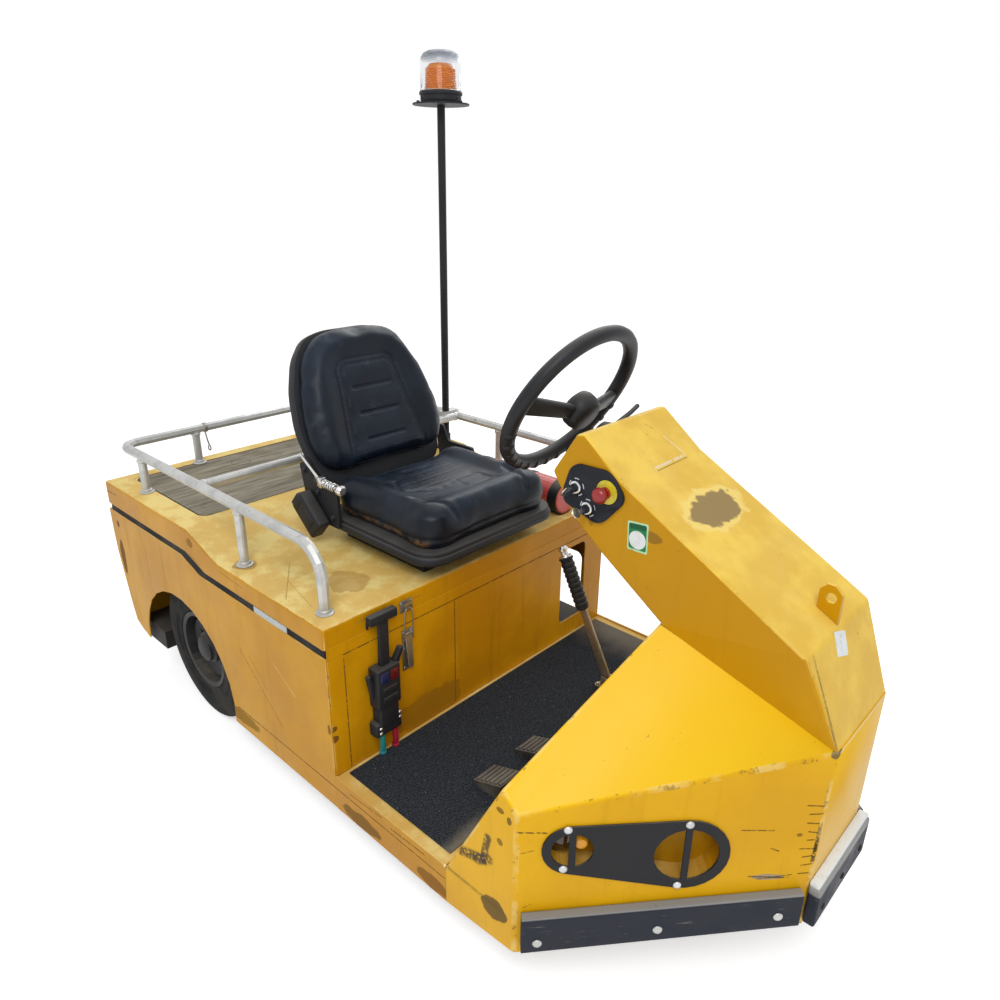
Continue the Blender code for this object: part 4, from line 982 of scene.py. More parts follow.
bracketOutline = [(0.165, 0.590), (0.300, 0.590), (0.300, 0.655), (0.315, 0.725), (0.285, 0.735),
                  (0.262, 0.690), (0.165, 0.690)]
panBits = [roundedBlock((-0.226, -0.150, 0.5833), (0.226, 0.258, 0.606), 0.062, 0.008),
           roundedBlock((-0.221, -0.146, 0.600), (0.221, 0.250, 0.6145), 0.060, 0.003)]
for side in (-1, 1):
    near = 0.2233 if side > 0 else -0.2313
    panBits.append(flatPlate([(near, y, z) for y, z in bracketOutline], 0.008, 0.008))
    for y, z in ((0.185, 0.615), (0.275, 0.612), (0.292, 0.712), (0.240, 0.668)):
        panBits.append(hexBolt((side * 0.2313, y, z), (side, 0, 0), 0.0065))
addPiece("seat_shell", gather(*panBits), darkPlastic, "deck", ("seat_pan",), 40)

# Recline catch: a coil spring on a pin, a chrome knob, and the belt's retractor, turned on its bracket
springTurns, springSteps = 6, 12
spring = [(-0.243 + 0.009 * math.cos(step / springSteps * 2 * math.pi),
           0.150 + 0.052 * step / (springTurns * springSteps),
           0.704 + 0.009 * math.sin(step / springSteps * 2 * math.pi))
          for step in range(springTurns * springSteps + 1)]
catchBits = [tube(spring, 0.0018, 8), tube([(-0.243, 0.138, 0.704), (-0.243, 0.222, 0.704)], 0.004, 12),
             put(turned([(0, 0), (0.010, 0), (0.013, 0.004), (0.013, 0.011), (0.009, 0.016), (0, 0.017)], 20),
                 aimed((-0.243, 0.139, 0.704), (0, -1, 0))),
             block((-0.247, 0.205, 0.690), (-0.232, 0.222, 0.716), 0.002),
             tube([(-0.238, 0.222, 0.706), (-0.242, 0.262, 0.735), (-0.236, 0.300, 0.752)], 0.0035, 10)]
addPiece("recline_catch", gather(*catchBits), chrome, "deck")
retractorPlace = Matrix.Translation((-0.2506, 0.252, 0.612)) @ Matrix.Rotation(math.radians(-48), 4, "X")
retractorBits = [block((-0.0175, -0.031, -0.052), (0.0175, 0.031, 0.052), 0.007, 3),
                 block((-0.019, -0.022, 0.030), (0.013, 0.022, 0.056), 0.003),
                 block((-0.0195, -0.018, -0.030), (-0.0150, 0.018, 0.010), 0.0012)]
addPiece("belt_reel", put(gather(*retractorBits), retractorPlace), darkPlastic, "deck",
         ("belt_retractor",))
print("seat built")

# Steering wheel: broad spokes and a hub over the frame's own rim

wheelLook = {
    "centre": (0, -0.338, 0.964),
    "tilt": 60.8,
    "radius": 0.166,
    "rim": 0.0155,
    "dish": 0.055,
    "spokes": (170, -10),
}


# A bar between two points, its width along one direction and its ends of their own widths
def spanning(start, end, across, widths, thickness, bevel=0.003):
    start, end = Vector(start), Vector(end)
    along = (end - start).normalized()
    across = (Vector(across) - along * along.dot(Vector(across))).normalized()
    shape = bmesh.new()
    bmesh.ops.create_cube(shape, size=1)
    for vert in shape.verts:
        share = vert.co.z + 0.5
        width = widths[0] * (1 - share) + widths[1] * share
        vert.co = Vector((vert.co.x * width, vert.co.y * thickness, share * (end - start).length))
    bmesh.ops.bevel(shape, geom=shape.edges[:], offset=bevel, segments=3, profile=0.5, affect="EDGES",
                    material=-1)
    axes = Matrix((across, along.cross(across), along)).transposed().to_4x4()
    return put(shape, Matrix.Translation(start) @ axes)


wheelCentre = Vector(wheelLook["centre"])
wheelTilt = math.radians(wheelLook["tilt"])
wheelAxis = Vector((0, math.sin(wheelTilt), math.cos(wheelTilt)))
wheelUp = Vector((0, -math.cos(wheelTilt), math.sin(wheelTilt)))
wheelBits = []
for degrees in wheelLook["spokes"]:
    angle = math.radians(degrees)
    out = Vector((1, 0, 0)) * math.cos(angle) + wheelUp * math.sin(angle)
    hub = wheelCentre - wheelAxis * (wheelLook["dish"] - 0.020) + out * 0.02
    rim = wheelCentre - wheelAxis * 0.002 + out * wheelLook["radius"]
    wheelBits.append(spanning(hub, rim, wheelAxis.cross(out), (0.030, 0.040), 0.018, 0.007))
hubPlace = aimed(wheelCentre - wheelAxis * wheelLook["dish"], wheelAxis)
wheelBits.append(put(turned([(0, 0.0), (0.030, 0.0), (0.037, 0.006), (0.040, 0.020), (0.040, 0.032),
                             (0.036, 0.042),
                             (0.026, 0.047), (0.025, 0.0455), (0.012, 0.048), (0, 0.0485)], 36), hubPlace))
for step in range(14):
    angle = math.radians(195 + step * 11.5)
    out = Vector((1, 0, 0)) * math.cos(angle) + wheelUp * math.sin(angle)
    grip = wheelCentre + out * (wheelLook["radius"] + 0.0012) - wheelAxis * 0.004
    wheelBits.append(put(turned([(0, -0.0125), (0.008, -0.011), (0.0128, -0.006), (0.0142, 0),
                                 (0.0128, 0.006),
                                 (0.008, 0.011), (0, 0.0125)], 12), aimed(grip, wheelAxis.cross(out))))
rimSpots = [wheelCentre + (Vector((1, 0,
                                   0)) * math.cos(turn) + wheelUp * math.sin(turn)) * wheelLook["radius"]
            for turn in (step * math.pi / 36 for step in range(72))]
wheelBits.append(tube(rimSpots, wheelLook["rim"], 18, True))
addPiece("wheel_and_hub", gather(*wheelBits), wheelPlastic, "steering_wheel",
         ("steering_wheel",), 50)

# Control plate: rounded corners, a bezel line, tick marks, keys and a yellow disc

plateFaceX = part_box("control_plate")[0].x


def controlFinish():
    panel = Finish("control_panel", Specular_IOR_Level=0.3)
    keys = ((-0.472, 0.852), (-0.500, 0.818))
    flat = panel.node("ShaderNodeCombineXYZ", None, {0: panel.y, 1: panel.z})
    marks = None
    for y, z in keys:
        away = panel.vector("DISTANCE", flat, (y, z, 0), 1)
        ring = panel.smooth(panel.math("ABSOLUTE", away - 0.0165), 0.0014, 0.0006)
        turn = panel.math("ARCTAN2", panel.z - z, panel.y - y)
        gaps = panel.smooth(panel.math("SINE", turn * 5.0), -0.1, 0.2)
        mark = ring * gaps
        marks = mark if marks is None else panel.most(marks, mark)
    cloud = panel.noise(30, 4)
    colour = panel.mix(cloud, shade(14, 17, 24), shade(30, 33, 40))
    colour = panel.mix(panel.clamp(marks * 0.9), colour, shade(196, 200, 204))
    colour = panel.mix(panel.rim() * 0.8, colour, shade(52, 22, 20))
    return panel.give(Base_Color=colour, Roughness=0.42 + 0.2 * cloud,
                      Normal=panel.bump(panel.noise(260, 2), 0.08, 0.0005))


panelFinish = controlFinish()
shape = merged("control_plate")
rim = shape.faces.layers.float.new("rim")
keysMiddle = Vector((0, -0.486, 0.835))
corners = [line for line in shape.edges
           if len(line.link_faces) == 2 and line.calc_face_angle(0) > math.radians(20)
           and abs(line.verts[0].co.x - line.verts[1].co.x) > 0.005
           and abs(line.verts[0].co.y - line.verts[1].co.y) < 1e-4
           and (Vector((0, *line.verts[0].co.yz)) - keysMiddle).length > 0.036]
bmesh.ops.bevel(shape, geom=corners, offset=0.014, segments=5, profile=0.5, affect="EDGES",
                clamp_overlap=True,
                material=-1)
edges = [line for line in shape.edges if len(line.link_faces) == 2
         and line.calc_face_angle(0) > math.radians(60)]
for face in bmesh.ops.bevel(shape, geom=edges, offset=0.0012, segments=2, profile=0.5, affect="EDGES",
                            clamp_overlap=True, material=-1)["faces"]:
    face[rim] = 1
addPiece("control_panel", shape, panelFinish, "chassis", ("control_plate",), 50)
discPlace = aimed((-0.1434, -0.540, 0.860), (-1, 0, 0))
addPiece("stop_disc", put(turned([(0, 0), (0.0225, 0.0), (0.0225, 0.0008), (0.0215, 0.0014), (0, 0.0014)],
                                 40),
                          discPlace),
         plainGloss("disc_yellow", shade(214, 196, 14), shade(182, 160, 20)), "chassis")
mushroom = [(0, 0), (0.0115, 0), (0.0115, 0.006), (0.0085, 0.007), (0.0085, 0.013), (0.0135, 0.014),
            (0.0152, 0.017), (0.0150, 0.021), (0.0125, 0.0255), (0.008, 0.0275), (0, 0.0282)]
addPiece("stop_mushroom", put(turned(mushroom, 36), aimed((-0.1448, -0.538, 0.8585), (-1, 0, 0))), redPlastic,
         "chassis", ("stop_button",), 40)
keyBits = []
for y, z, lean in ((-0.472, 0.852, 0.5), (-0.500, 0.818, -0.6)):
    ring = put(turned([(0.0075, 0.0), (0.0125, 0.0), (0.0125, 0.003), (0.0105, 0.0045), (0.0075, 0.0045)],
                      28),
               aimed((-0.1455, y, z), (-1, 0, 0)))
    blade = block((-0.024, -0.0012, -0.004), (-0.006, 0.0012, 0.004), 0.0006)
    bow = put(turned([(0, -0.0011), (0.0095, -0.0011), (0.0105, 0), (0.0095, 0.0011), (0, 0.0011)], 20),
              Matrix.Translation((-0.030, 0, 0)) @ Matrix.Rotation(math.radians(90), 4, "X"))
    key = put(gather(blade, bow), Matrix.Translation((-0.1475, y, z)) @ Matrix.Rotation(lean, 4, "X"))
    keyBits += [ring, key]
addPiece("key_switches", gather(*keyBits), chrome, "chassis")

# Blank labels

labelLook = {
    "green": ((-0.585, 0.818), (-0.628, 0.822), (-0.630, 0.764), (-0.588, 0.763)),
    "white": ((-0.027, -0.931, 0.687), (0.013, -0.936, 0.675), (0.002, -0.952, 0.638),
              (-0.035, -0.947, 0.649)),
}


def labelFinish(name, tone, soil):
    paper = Finish(name, Specular_IOR_Level=0.3)
    cloud = paper.smooth(paper.noise(60, 4, 0.7), 0.5, 0.72)
    return paper.give(Base_Color=paper.mix(cloud * 0.5, tone, soil), Roughness=0.5 + 0.2 * cloud,
                      Normal=paper.bump(cloud, 0.1, 0.0004))


def sidePlate(corners, x, shrink, thickness, radius):
    middle = sum((Vector((0, *corner)) for corner in corners), Vector()) / len(corners)
    spots = [middle + (Vector((0, *corner)) - middle) * shrink + Vector((x, 0, 0)) for corner in corners]
    return flatPlate(spots, thickness, radius)


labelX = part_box("steering_column")[0].x - 0.0001
green = labelLook["green"]
mint = sidePlate(green, labelX, 1.0, -0.0004, 0.003)
addPiece("label_border", mint, labelFinish("label_mint", shade(188, 222, 176), shade(150, 170, 120)),
         "chassis")
addPiece("label_field", sidePlate(green, labelX - 0.0003, 0.86, -0.0004, 0.003),
         labelFinish("label_green", shade(22, 122, 70), shade(60, 132, 84)), "chassis")
bar = [(-0.588, 0.815), (-0.625, 0.8185), (-0.6255, 0.808), (-0.589, 0.8045)]
addPiece("label_bar", sidePlate(bar, labelX - 0.0005, 0.94, -0.0004, 0.002),
         labelFinish("label_dark", shade(14, 84, 52), shade(30, 96, 60)), "chassis")
whiteLabel = labelFinish("label_white", shade(226, 230, 232), shade(190, 188, 176))
disc = put(turned([(0, 0), (0.0175, 0), (0.0175, 0.0005), (0, 0.0005)], 32),
           aimed((labelX - 0.0004, -0.608, 0.786), (-1, 0, 0)))
addPiece("label_disc", disc, whiteLabel, "chassis")
plate = [Vector(corner) for corner in labelLook["white"]]
outward = (plate[1] - plate[0]).cross(plate[3] - plate[0]).normalized()
outward = outward if outward.y < 0 else -outward
addPiece("front_label", flatPlate([corner + outward * 0.0006 for corner in plate], 0.0005, 0.002), whiteLabel,
         "chassis")
print("controls and labels built")

# Headlamps: the pockets' bulbs and lenses, and the guards' bolts

brownGlass = plainGloss("brown_glass", shade(70, 44, 16), shade(34, 24, 14), 0.12)
bulbAmber = plainGloss("bulb_amber", shade(236, 168, 26), shade(222, 140, 12), 0.18)
boltZinc = galvanised("bolt_zinc", shade(222, 224, 226))
inward = Vector((0.705, 0.709, 0))


def mirroredX(point, side):
    return Vector((point[0] * side, point[1], point[2]))


for name, side in (("right", 1), ("left", -1)):
    into = mirroredX(inward, side)
    lens = put(turned([(0, 0.0), (0.018, 0.002), (0.026, 0.008), (0.029, 0.018), (0.027, 0.020),
                       (0, 0.020)], 28),
               aimed(mirroredX(Vector(onNose(0.078, 0.335)) + inward * 0.016, side), into))
    addPiece(f"lamp_lens_{name}", lens, brownGlass, "chassis")
    bulb = put(turned([(0, -0.016), (0.010, -0.013), (0.016, -0.004), (0.017, 0.006), (0.013, 0.014),
                       (0.010, 0.022), (0, 0.022)], 24),
               aimed(mirroredX(Vector(onNose(0.112, 0.338)) + inward * 0.022, side), into))
    addPiece(f"lamp_bulb_{name}", bulb, bulbAmber, "chassis")
    bolts = [domeBolt(mirroredX(Vector(onNose(s, z)) - inward * 0.0038, side), -into, 0.0075, 0.0045)
             for s, z in ((0.086, 0.3835), (0.289, 0.3895), (0.081, 0.2975), (0.280, 0.2545))]
    addPiece(f"guard_bolts_{name}", gather(*bolts), boltZinc, "chassis")
    slots = [domeBolt(mirroredX(Vector(onNose(s, z)) - inward * 0.0202, side), -into, 0.0085, 0.004)
             for s, z in ((0.040, 0.142), (0.460, 0.192), (0.250, 0.168))]
    addPiece(f"bumper_bolts_{name}", gather(*slots), tubeZinc, "chassis")
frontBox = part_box("front_bumper")
stripBits = [block((frontBox[0].x + 0.002, frontBox[0].y + 0.004, frontBox[1].z - 0.001),
                   (frontBox[1].x - 0.002, frontBox[1].y, frontBox[1].z + 0.009), 0.003)]
addPiece("bumper_strip", gather(*stripBits), whiteLabel, "chassis")
noseBolts = [domeBolt((x, frontBox[0].y, 0.190), (0, -1, 0), 0.007, 0.003) for x in (-0.09, 0.0, 0.09)]
addPiece("front_bumper_bolts", gather(*noseBolts), blackRubber, "chassis")
print("lamps and bumpers built")

# Deck edge, reflector, latch, connector

lipBits = [block((-0.4765, -0.1131, 0.4630), (0.4765, -0.1121, 0.4895), 0.0004, 1)]
addPiece("deck_lip", gather(*lipBits), wallPaint, "deck")
reflector = Finish("reflector", Specular_IOR_Level=0.4)
cells = reflector.node("ShaderNodeTexVoronoi", {"feature": "DISTANCE_TO_EDGE"},
                       {"Vector": reflector.place, "Scale": 260.0})
reflector.give(Base_Color=reflector.mix(reflector.smooth(cells, 0.02, 0.08), shade(150, 156, 160),
                                        shade(196, 200, 198)),
               Roughness=0.3 + 0.3 * reflector.noise(30, 3), Normal=reflector.bump(cells, 0.2, 0.0005))
for side in (-1, 1):
    addPiece(f"reflector_{'left' if side > 0 else 'right'}",
             block((side * 0.4796 - 0.0008, 0.026, 0.4705), (side * 0.4796 + 0.0008, 0.158, 0.4858), 0.0006),
             reflector.material, "chassis")

latchX, wallFront = -0.265, -0.1123
latchBits = [block((latchX - 0.015, wallFront - 0.0026, 0.343), (latchX + 0.015, wallFront - 0.0004, 0.448),
                   0.001),
             spanning((latchX, wallFront - 0.006, 0.440), (latchX, wallFront - 0.013, 0.352), (1, 0, 0),
                      (0.020, 0.014), 0.0035, 0.0015),
             put(turned([(0, -0.015), (0.004, -0.015), (0.004, 0.015), (0, 0.015)], 14),
                 aimed((latchX, wallFront - 0.006, 0.438), (1, 0, 0)))]
loop = [(latchX - 0.0125, wallFront - 0.008, 0.425), (latchX - 0.0125, wallFront - 0.011, 0.470),
        (latchX - 0.010, wallFront - 0.010, 0.500), (latchX, wallFront - 0.0095, 0.506),
        (latchX + 0.010, wallFront - 0.010, 0.500), (latchX + 0.0125, wallFront - 0.011, 0.470),
        (latchX + 0.0125, wallFront - 0.008, 0.425)]
latchBits.append(tube(loop, 0.0019, 8))
latchBits += [domeBolt((latchX + x, wallFront - 0.0026, z), (0, -1, 0), 0.0028, 0.0016)
              for x in (-0.010, 0.010) for z in (0.350, 0.400, 0.442)]
addPiece("toggle_latch", gather(*latchBits), bareSteel, "chassis", ("hood_latch",))
keeperBits = [block((latchX - 0.018, wallFront - 0.0032, 0.494),
                    (latchX + 0.018, wallFront - 0.0010, 0.522), 0.001),
              block((latchX - 0.010, wallFront - 0.0125, 0.508), (latchX + 0.010, wallFront - 0.0030, 0.5115),
                    0.001),
              block((latchX - 0.010, wallFront - 0.0128, 0.508), (latchX + 0.010, wallFront - 0.0105, 0.519),
                    0.0008)]
keeperBits += [domeBolt((latchX + x, wallFront - 0.0032, 0.517), (0, -1, 0), 0.0026, 0.0015)
               for x in (-0.014, 0.014)]
addPiece("latch_keeper", gather(*keeperBits), bareSteel, "deck", ("hood_keeper",))

blockFace = wallFront - 0.0002
connectorBits = [block((-0.378, blockFace - 0.036, 0.300), (-0.314, blockFace, 0.402), 0.006, 3),
                 block((-0.372, blockFace - 0.033, 0.250), (-0.320, blockFace, 0.305), 0.005, 3),
                 block((-0.384, blockFace - 0.030, 0.226), (-0.310, blockFace, 0.262), 0.007, 3),
                 spanning((-0.322, blockFace - 0.018, 0.385), (-0.303, blockFace - 0.024, 0.432), (1, 0, 0.3),
                          (0.020, 0.011), 0.014, 0.003),
                 spanning((-0.374, blockFace - 0.016, 0.330), (-0.3905, blockFace - 0.018, 0.392),
                          (1, 0, 0.3),
                          (0.018, 0.010), 0.012, 0.003),
                 block((-0.366, blockFace - 0.039, 0.318), (-0.326, blockFace - 0.034, 0.330), 0.0015),
                 block((-0.366, blockFace - 0.039, 0.342), (-0.326, blockFace - 0.034, 0.354), 0.0015),
                 spanning((-0.345, blockFace - 0.020, 0.398), (-0.345, blockFace - 0.019, 0.520), (1, 0, 0),
                          (0.024, 0.030), 0.006, 0.0025),
                 spanning((-0.352, blockFace - 0.013, 0.398), (-0.348, blockFace - 0.016, 0.515), (1, 0, 0),
                          (0.010, 0.016), 0.005, 0.002),
                 block((-0.382, blockFace - 0.027, 0.511), (-0.308, blockFace - 0.009, 0.532), 0.003),
                 block((-0.382, blockFace - 0.012, 0.500), (-0.376, blockFace - 0.009, 0.516), 0.001)]
addPiece("plug_body", gather(*connectorBits), darkPlastic, "chassis", ("battery_connector",))
blueParts = plainGloss("plug_blue", shade(28, 44, 104), shade(18, 28, 66))
redParts = plainGloss("plug_red", shade(108, 18, 26), shade(66, 14, 18))
for name, finish, x in (("blue", blueParts, -0.359), ("red", redParts, -0.333)):
    addPiece(f"plug_insert_{name}", block((x - 0.011, blockFace - 0.0385, 0.368),
                                          (x + 0.011, blockFace - 0.034, 0.394),
                                          0.002), finish, "chassis")
contacts = [domeBolt((x, blockFace - 0.030, z), (0, -1, 0), 0.0042, 0.003)
            for x, z in ((-0.372, 0.250), (-0.372, 0.237), (-0.318, 0.268), (-0.318, 0.255))]
addPiece("plug_screws", gather(*contacts), chrome, "chassis")
leadBlue = plainGloss("lead_blue", shade(34, 128, 150), shade(38, 150, 128), 0.4)
leadRed = plainGloss("lead_red", shade(176, 28, 62), shade(140, 20, 44), 0.4)
for name, finish, x in (("blue", leadBlue, -0.362), ("red", leadRed, -0.325)):
    line = [(x, blockFace - 0.018, 0.236), (x + 0.001, blockFace - 0.019, 0.215),
            (x + 0.002, blockFace - 0.018, 0.19),
            (x + 0.002, blockFace - 0.016, 0.1702)]
    lead = gather(tube(line, 0.0068, 16), put(turned([(0.0068, 0), (0.0085, 0.001), (0.0085, 0.006),
                                                      (0.0068, 0.007)], 20), aimed(line[-1])))
    addPiece(f"battery_lead_{name}", lead, finish, "chassis")
print("latch and plug built")

# Levers, pedals, rail fittings

leverFoot, leverTop = Vector((0.200, -0.352, 0.1796)), Vector((0.200, -0.178, 0.520))
leverRun = (leverTop - leverFoot).normalized()
gripStart, gripEnd = 0.205, 0.345
barBits = [spanning(leverFoot - leverRun * 0.006, leverFoot + leverRun * (gripStart + 0.004), (0, 1, 0),
                    (0.030, 0.022), 0.006, 0.0015),
           block((0.178, -0.395, 0.1698), (0.222, -0.325, 0.176), 0.002),
           block((0.186, -0.385, 0.174), (0.192, -0.335, 0.200), 0.002),
           block((0.208, -0.385, 0.174), (0.214, -0.335, 0.200), 0.002),
           hexBolt((0.186, -0.356, 0.190), (-1, 0, 0), 0.007)]
barBits += [hexBolt((x, y, 0.176), (0, 0, 1), 0.0055) for x in (0.182, 0.218) for y in (-0.389, -0.331)]
addPiece("lever_bar", gather(*barBits), steel("lever_steel", shade(172, 160, 138), 0.35, 0.45), "chassis",
         ("parking_lever",))
gripProfile = [(0.0125, gripStart), (0.0165, gripStart + 0.003)]
ribs = 9
for rib in range(ribs):
    low = gripStart + 0.008 + rib * 0.0135
    gripProfile += [(0.0160, low), (0.0178, low + 0.002), (0.0178, low + 0.008), (0.0160, low + 0.0105)]
gripProfile += [(0.0160, gripEnd - 0.006), (0.0190, gripEnd - 0.004), (0.0190, gripEnd), (0, gripEnd)]
leverTurn = aimed(leverFoot, leverRun)
addPiece("lever_grip", put(turned([(0, gripStart)] + gripProfile, 28), leverTurn), darkPlastic, "chassis",
         ("parking_lever_grip",), 30)
topProfile = [(0, gripEnd), (0.0165, gripEnd), (0.0175, gripEnd + 0.003), (0.0165, gripEnd + 0.006),
              (0.010, gripEnd + 0.007), (0.0095, gripEnd + 0.016), (0.0125, gripEnd + 0.018),
              (0.0135, gripEnd + 0.024), (0.010, gripEnd + 0.031), (0, gripEnd + 0.033)]
addPiece("lever_button", put(turned(topProfile, 28), leverTurn), chrome, "chassis")

pedalBits = []
for low, high in (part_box("accelerator_pedal"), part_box("brake_pedal")):
    across = high.x - low.x
    for step in range(6):
        share = (step + 0.5) / 6
        y = high.y - 0.008 - share * 0.076
        z = 0.181 + (high.y - 0.005 - y) / 0.080 * 0.030
        pedalBits.append(block((low.x + 0.004, y - 0.0035, z - 0.004),
                               (high.x - 0.004, y + 0.0035, z + 0.0022),
                               0.001))
    pedalBits.append(spanning((low.x + across / 2, low.y + 0.004, 0.196),
                              (low.x + across / 2, low.y - 0.026, 0.205),
                              (1, 0, 0), (0.020, 0.020), 0.008, 0.002))
addPiece("pedal_ribs", gather(*pedalBits), pedalRubber, "chassis")

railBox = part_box("luggage_rail")
railX, railRadius = railBox[1].x - 0.0125, 0.0125
deckZ, rearZ = 0.537, 0.581
collarProfile = [(0.0105, 0.0004), (0.0195, 0.0004), (0.0200, 0.0016), (0.0195, 0.0030), (0.0148, 0.0046),
                 (0.0142, 0.0090), (0.0128, 0.0105), (0.0105, 0.0108)]
railBits = []
for side in (-1, 1):
    for x, y, z in ((railX, -0.057, deckZ), (railX, 0.26, deckZ), (railX, 0.757, rearZ), (0.22, 0.88, rearZ)):
        railBits.append(put(turned(collarProfile, 28), aimed((side * x, y, z))))
    weld = [(0.0108, -0.0045), (0.0138, -0.002), (0.0136, 0.003), (0.0108, 0.006)]
    for x, y in ((railX, 0.26), (railX, 0.757), (0.22, 0.88)):
        railBits.append(put(turned(weld, 20), aimed((side * x, y, 0.685 - 0.0135), (0, 0, -1))))
    railBits.append(put(turned(weld, 20), aimed((side * (railX - 0.0125), 0.44, 0.685), (-side, 0, 0))))
addPiece("rail_collars", gather(*railBits), tubeZinc, "deck")
hookX = -0.190
hookBits = [put(turned([(0.0126, -0.004), (0.0146, -0.004), (0.0146, 0.004), (0.0126, 0.004)], 24),
                aimed((hookX, 0.88, 0.685), (1, 0, 0))),
            tube([(hookX, 0.880, 0.672), (hookX + 0.001, 0.878, 0.655), (hookX + 0.003, 0.876, 0.640),
                  (hookX + 0.005, 0.875, 0.630)], 0.0024, 10),
            tube([(hookX + 0.005, 0.875, 0.631), (hookX + 0.0095, 0.875, 0.622),
                  (hookX + 0.007, 0.875, 0.612),
                  (hookX + 0.002, 0.875, 0.616), (hookX + 0.001, 0.875, 0.624)], 0.0020, 10, True)]
addPiece("strap_hook", gather(*hookBits), bareSteel, "deck")
mastBits = [hexBolt((x, y, 0.5872), (0, 0, 1), 0.0045) for x, y in ((0.384, 0.464), (0.384, 0.483))]
mastBits += [hexBolt((0.4205, 0.4516, 0.685), (0, -1, 0), 0.006),
             hexBolt((0.4205, 0.4804, 0.685), (0, 1, 0), 0.006)]
addPiece("mast_bolts", gather(*mastBits), bareSteel, "deck")
print("fittings built")

# Beacon: a ribbed lens in a clear dome

lensLow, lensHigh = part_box("beacon_lens")
mastSpot = ((lensLow.x + lensHigh.x) / 2, (lensLow.y + lensHigh.y) / 2)
lensProfile = [(0, lensLow.z), (0.043, lensLow.z)]
for rib in range(12):
    height = lensLow.z + 0.003 + rib * 0.0043
    lensProfile += [(0.0438 - rib * 0.0002, height + 0.0008), (0.0418 - rib * 0.0002, height + 0.0030)]
lensProfile += [(0.030, lensHigh.z - 0.003), (0.012, lensHigh.z), (0, lensHigh.z)]
addPiece("beacon_amber", put(turned(lensProfile, 48), aimed((*mastSpot, 0))), amber, "deck",
         ("beacon_lens",), 50)
coverLow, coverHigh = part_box("beacon_cover")
low, high = coverLow.z, coverHigh.z
coverProfile = [(0.0535, low), (0.056, low), (0.056, low + 0.004), (0.0545, low + 0.006),
                (0.0545, high - 0.030),
                (0.0525, high - 0.018), (0.046, high - 0.008), (0.034, high - 0.002), (0.018, high - 0.0004),
                (0, high), (0, high - 0.003), (0.018, high - 0.0034), (0.033, high - 0.005),
                (0.044, high - 0.0105),
                (0.0500, high - 0.020), (0.0520, high - 0.031), (0.0520, low + 0.001), (0.0535, low)]
addPiece("beacon_dome", put(turned(coverProfile, 56), aimed((*mastSpot, 0))), coverClear, "deck",
         ("beacon_cover",), 50)
baseBits = [put(turned([(0.0555, 0.0), (0.0585, 0.0), (0.0590, 0.002), (0.0590, 0.0065), (0.0575, 0.008),
                        (0.0555, 0.008)], 56), aimed((*mastSpot, low - 0.010)))]
for step in range(3):
    angle = math.radians(40 + step * 120)
    out = Vector((math.cos(angle), math.sin(angle), 0))
    baseBits.append(domeBolt(Vector((*mastSpot, low - 0.018)) + out * 0.0556, out, 0.0035, 0.0025))
    baseBits.append(hexBolt(Vector((*mastSpot, 1.5694)) + out * 0.067, (0, 0, 1), 0.0045))
addPiece("beacon_fittings", gather(*baseBits), darkPlastic, "deck")

# Extinguisher: base ring, straps, collar and hose

bottle = (0.330, 0, 0.5833)
bottleBits = []
for y in (-0.088, 0.030, 0.150):
    width, radius = (0.030, 0.0475) if y < -0.05 else (0.014, 0.0455)
    bottleBits.append(put(turned([(radius - 0.003, 0), (radius, 0.001), (radius, width),
                                  (radius - 0.003, width + 0.001)], 40),
                          aimed((bottle[0], y, bottle[2]), (0, 1, 0))))
addPiece("bottle_straps", gather(*bottleBits), blackCoat, "deck")
collar = [put(turned([(0.013, 0.232), (0.026, 0.234), (0.030, 0.240), (0.030, 0.250), (0.024, 0.256),
                      (0.013, 0.257)],
                     28), aimed((bottle[0], 0, bottle[2]), (0, 1, 0))),
          block((0.322, 0.255, 0.590), (0.338, 0.322, 0.606), 0.003),
          spanning((0.330, 0.262, 0.612), (0.330, 0.352, 0.628), (1, 0, 0), (0.016, 0.012), 0.005, 0.002)]
addPiece("bottle_collar", gather(*collar), plainGloss("collar_orange", shade(176, 84, 34),
                                                      shade(128, 56, 26), 0.4),
         "deck")
hose = [(0.330, 0.270, 0.600), (0.312, 0.285, 0.612), (0.286, 0.262, 0.618), (0.278, 0.200, 0.606),
        (0.2795, 0.120, 0.590), (0.282, 0.060, 0.578)]
addPiece("bottle_hose", tube(hose, 0.0058, 12), blackRubber, "deck")

# Tyres: grooved tread, rings on the sidewalls, and a hub cap with nuts

tyreLook = {
    "bead": 0.1085,
    "half": 0.048,
    "grooves": (-0.024, 0.0, 0.024),
    "grooveDepth": 0.006,
}


def tyreProfile(radius, look):
    half, bead = look["half"], look["bead"]
    wall = radius - bead
    profile = [(bead, -half + 0.004), (bead + 0.004, -half - 0.001), (bead + wall * 0.25, -half - 0.0015),
               (bead + wall * 0.28, -half - 0.0030), (bead + wall * 0.33, -half - 0.0030),
               (bead + wall * 0.36, -half - 0.0015), (bead + wall * 0.58, -half - 0.0015),
               (bead + wall * 0.62, -half - 0.0005), (bead + wall * 0.82, -half + 0.002),
               (radius - 0.006, -half + 0.006), (radius - 0.002, -half + 0.010)]
    for place in look["grooves"]:
        profile += [(radius, place - 0.0038), (radius - look["grooveDepth"], place - 0.0026),
                    (radius - look["grooveDepth"], place + 0.0026), (radius, place + 0.0038)]
    return profile + [(r, -x) for r, x in reversed(profile)]


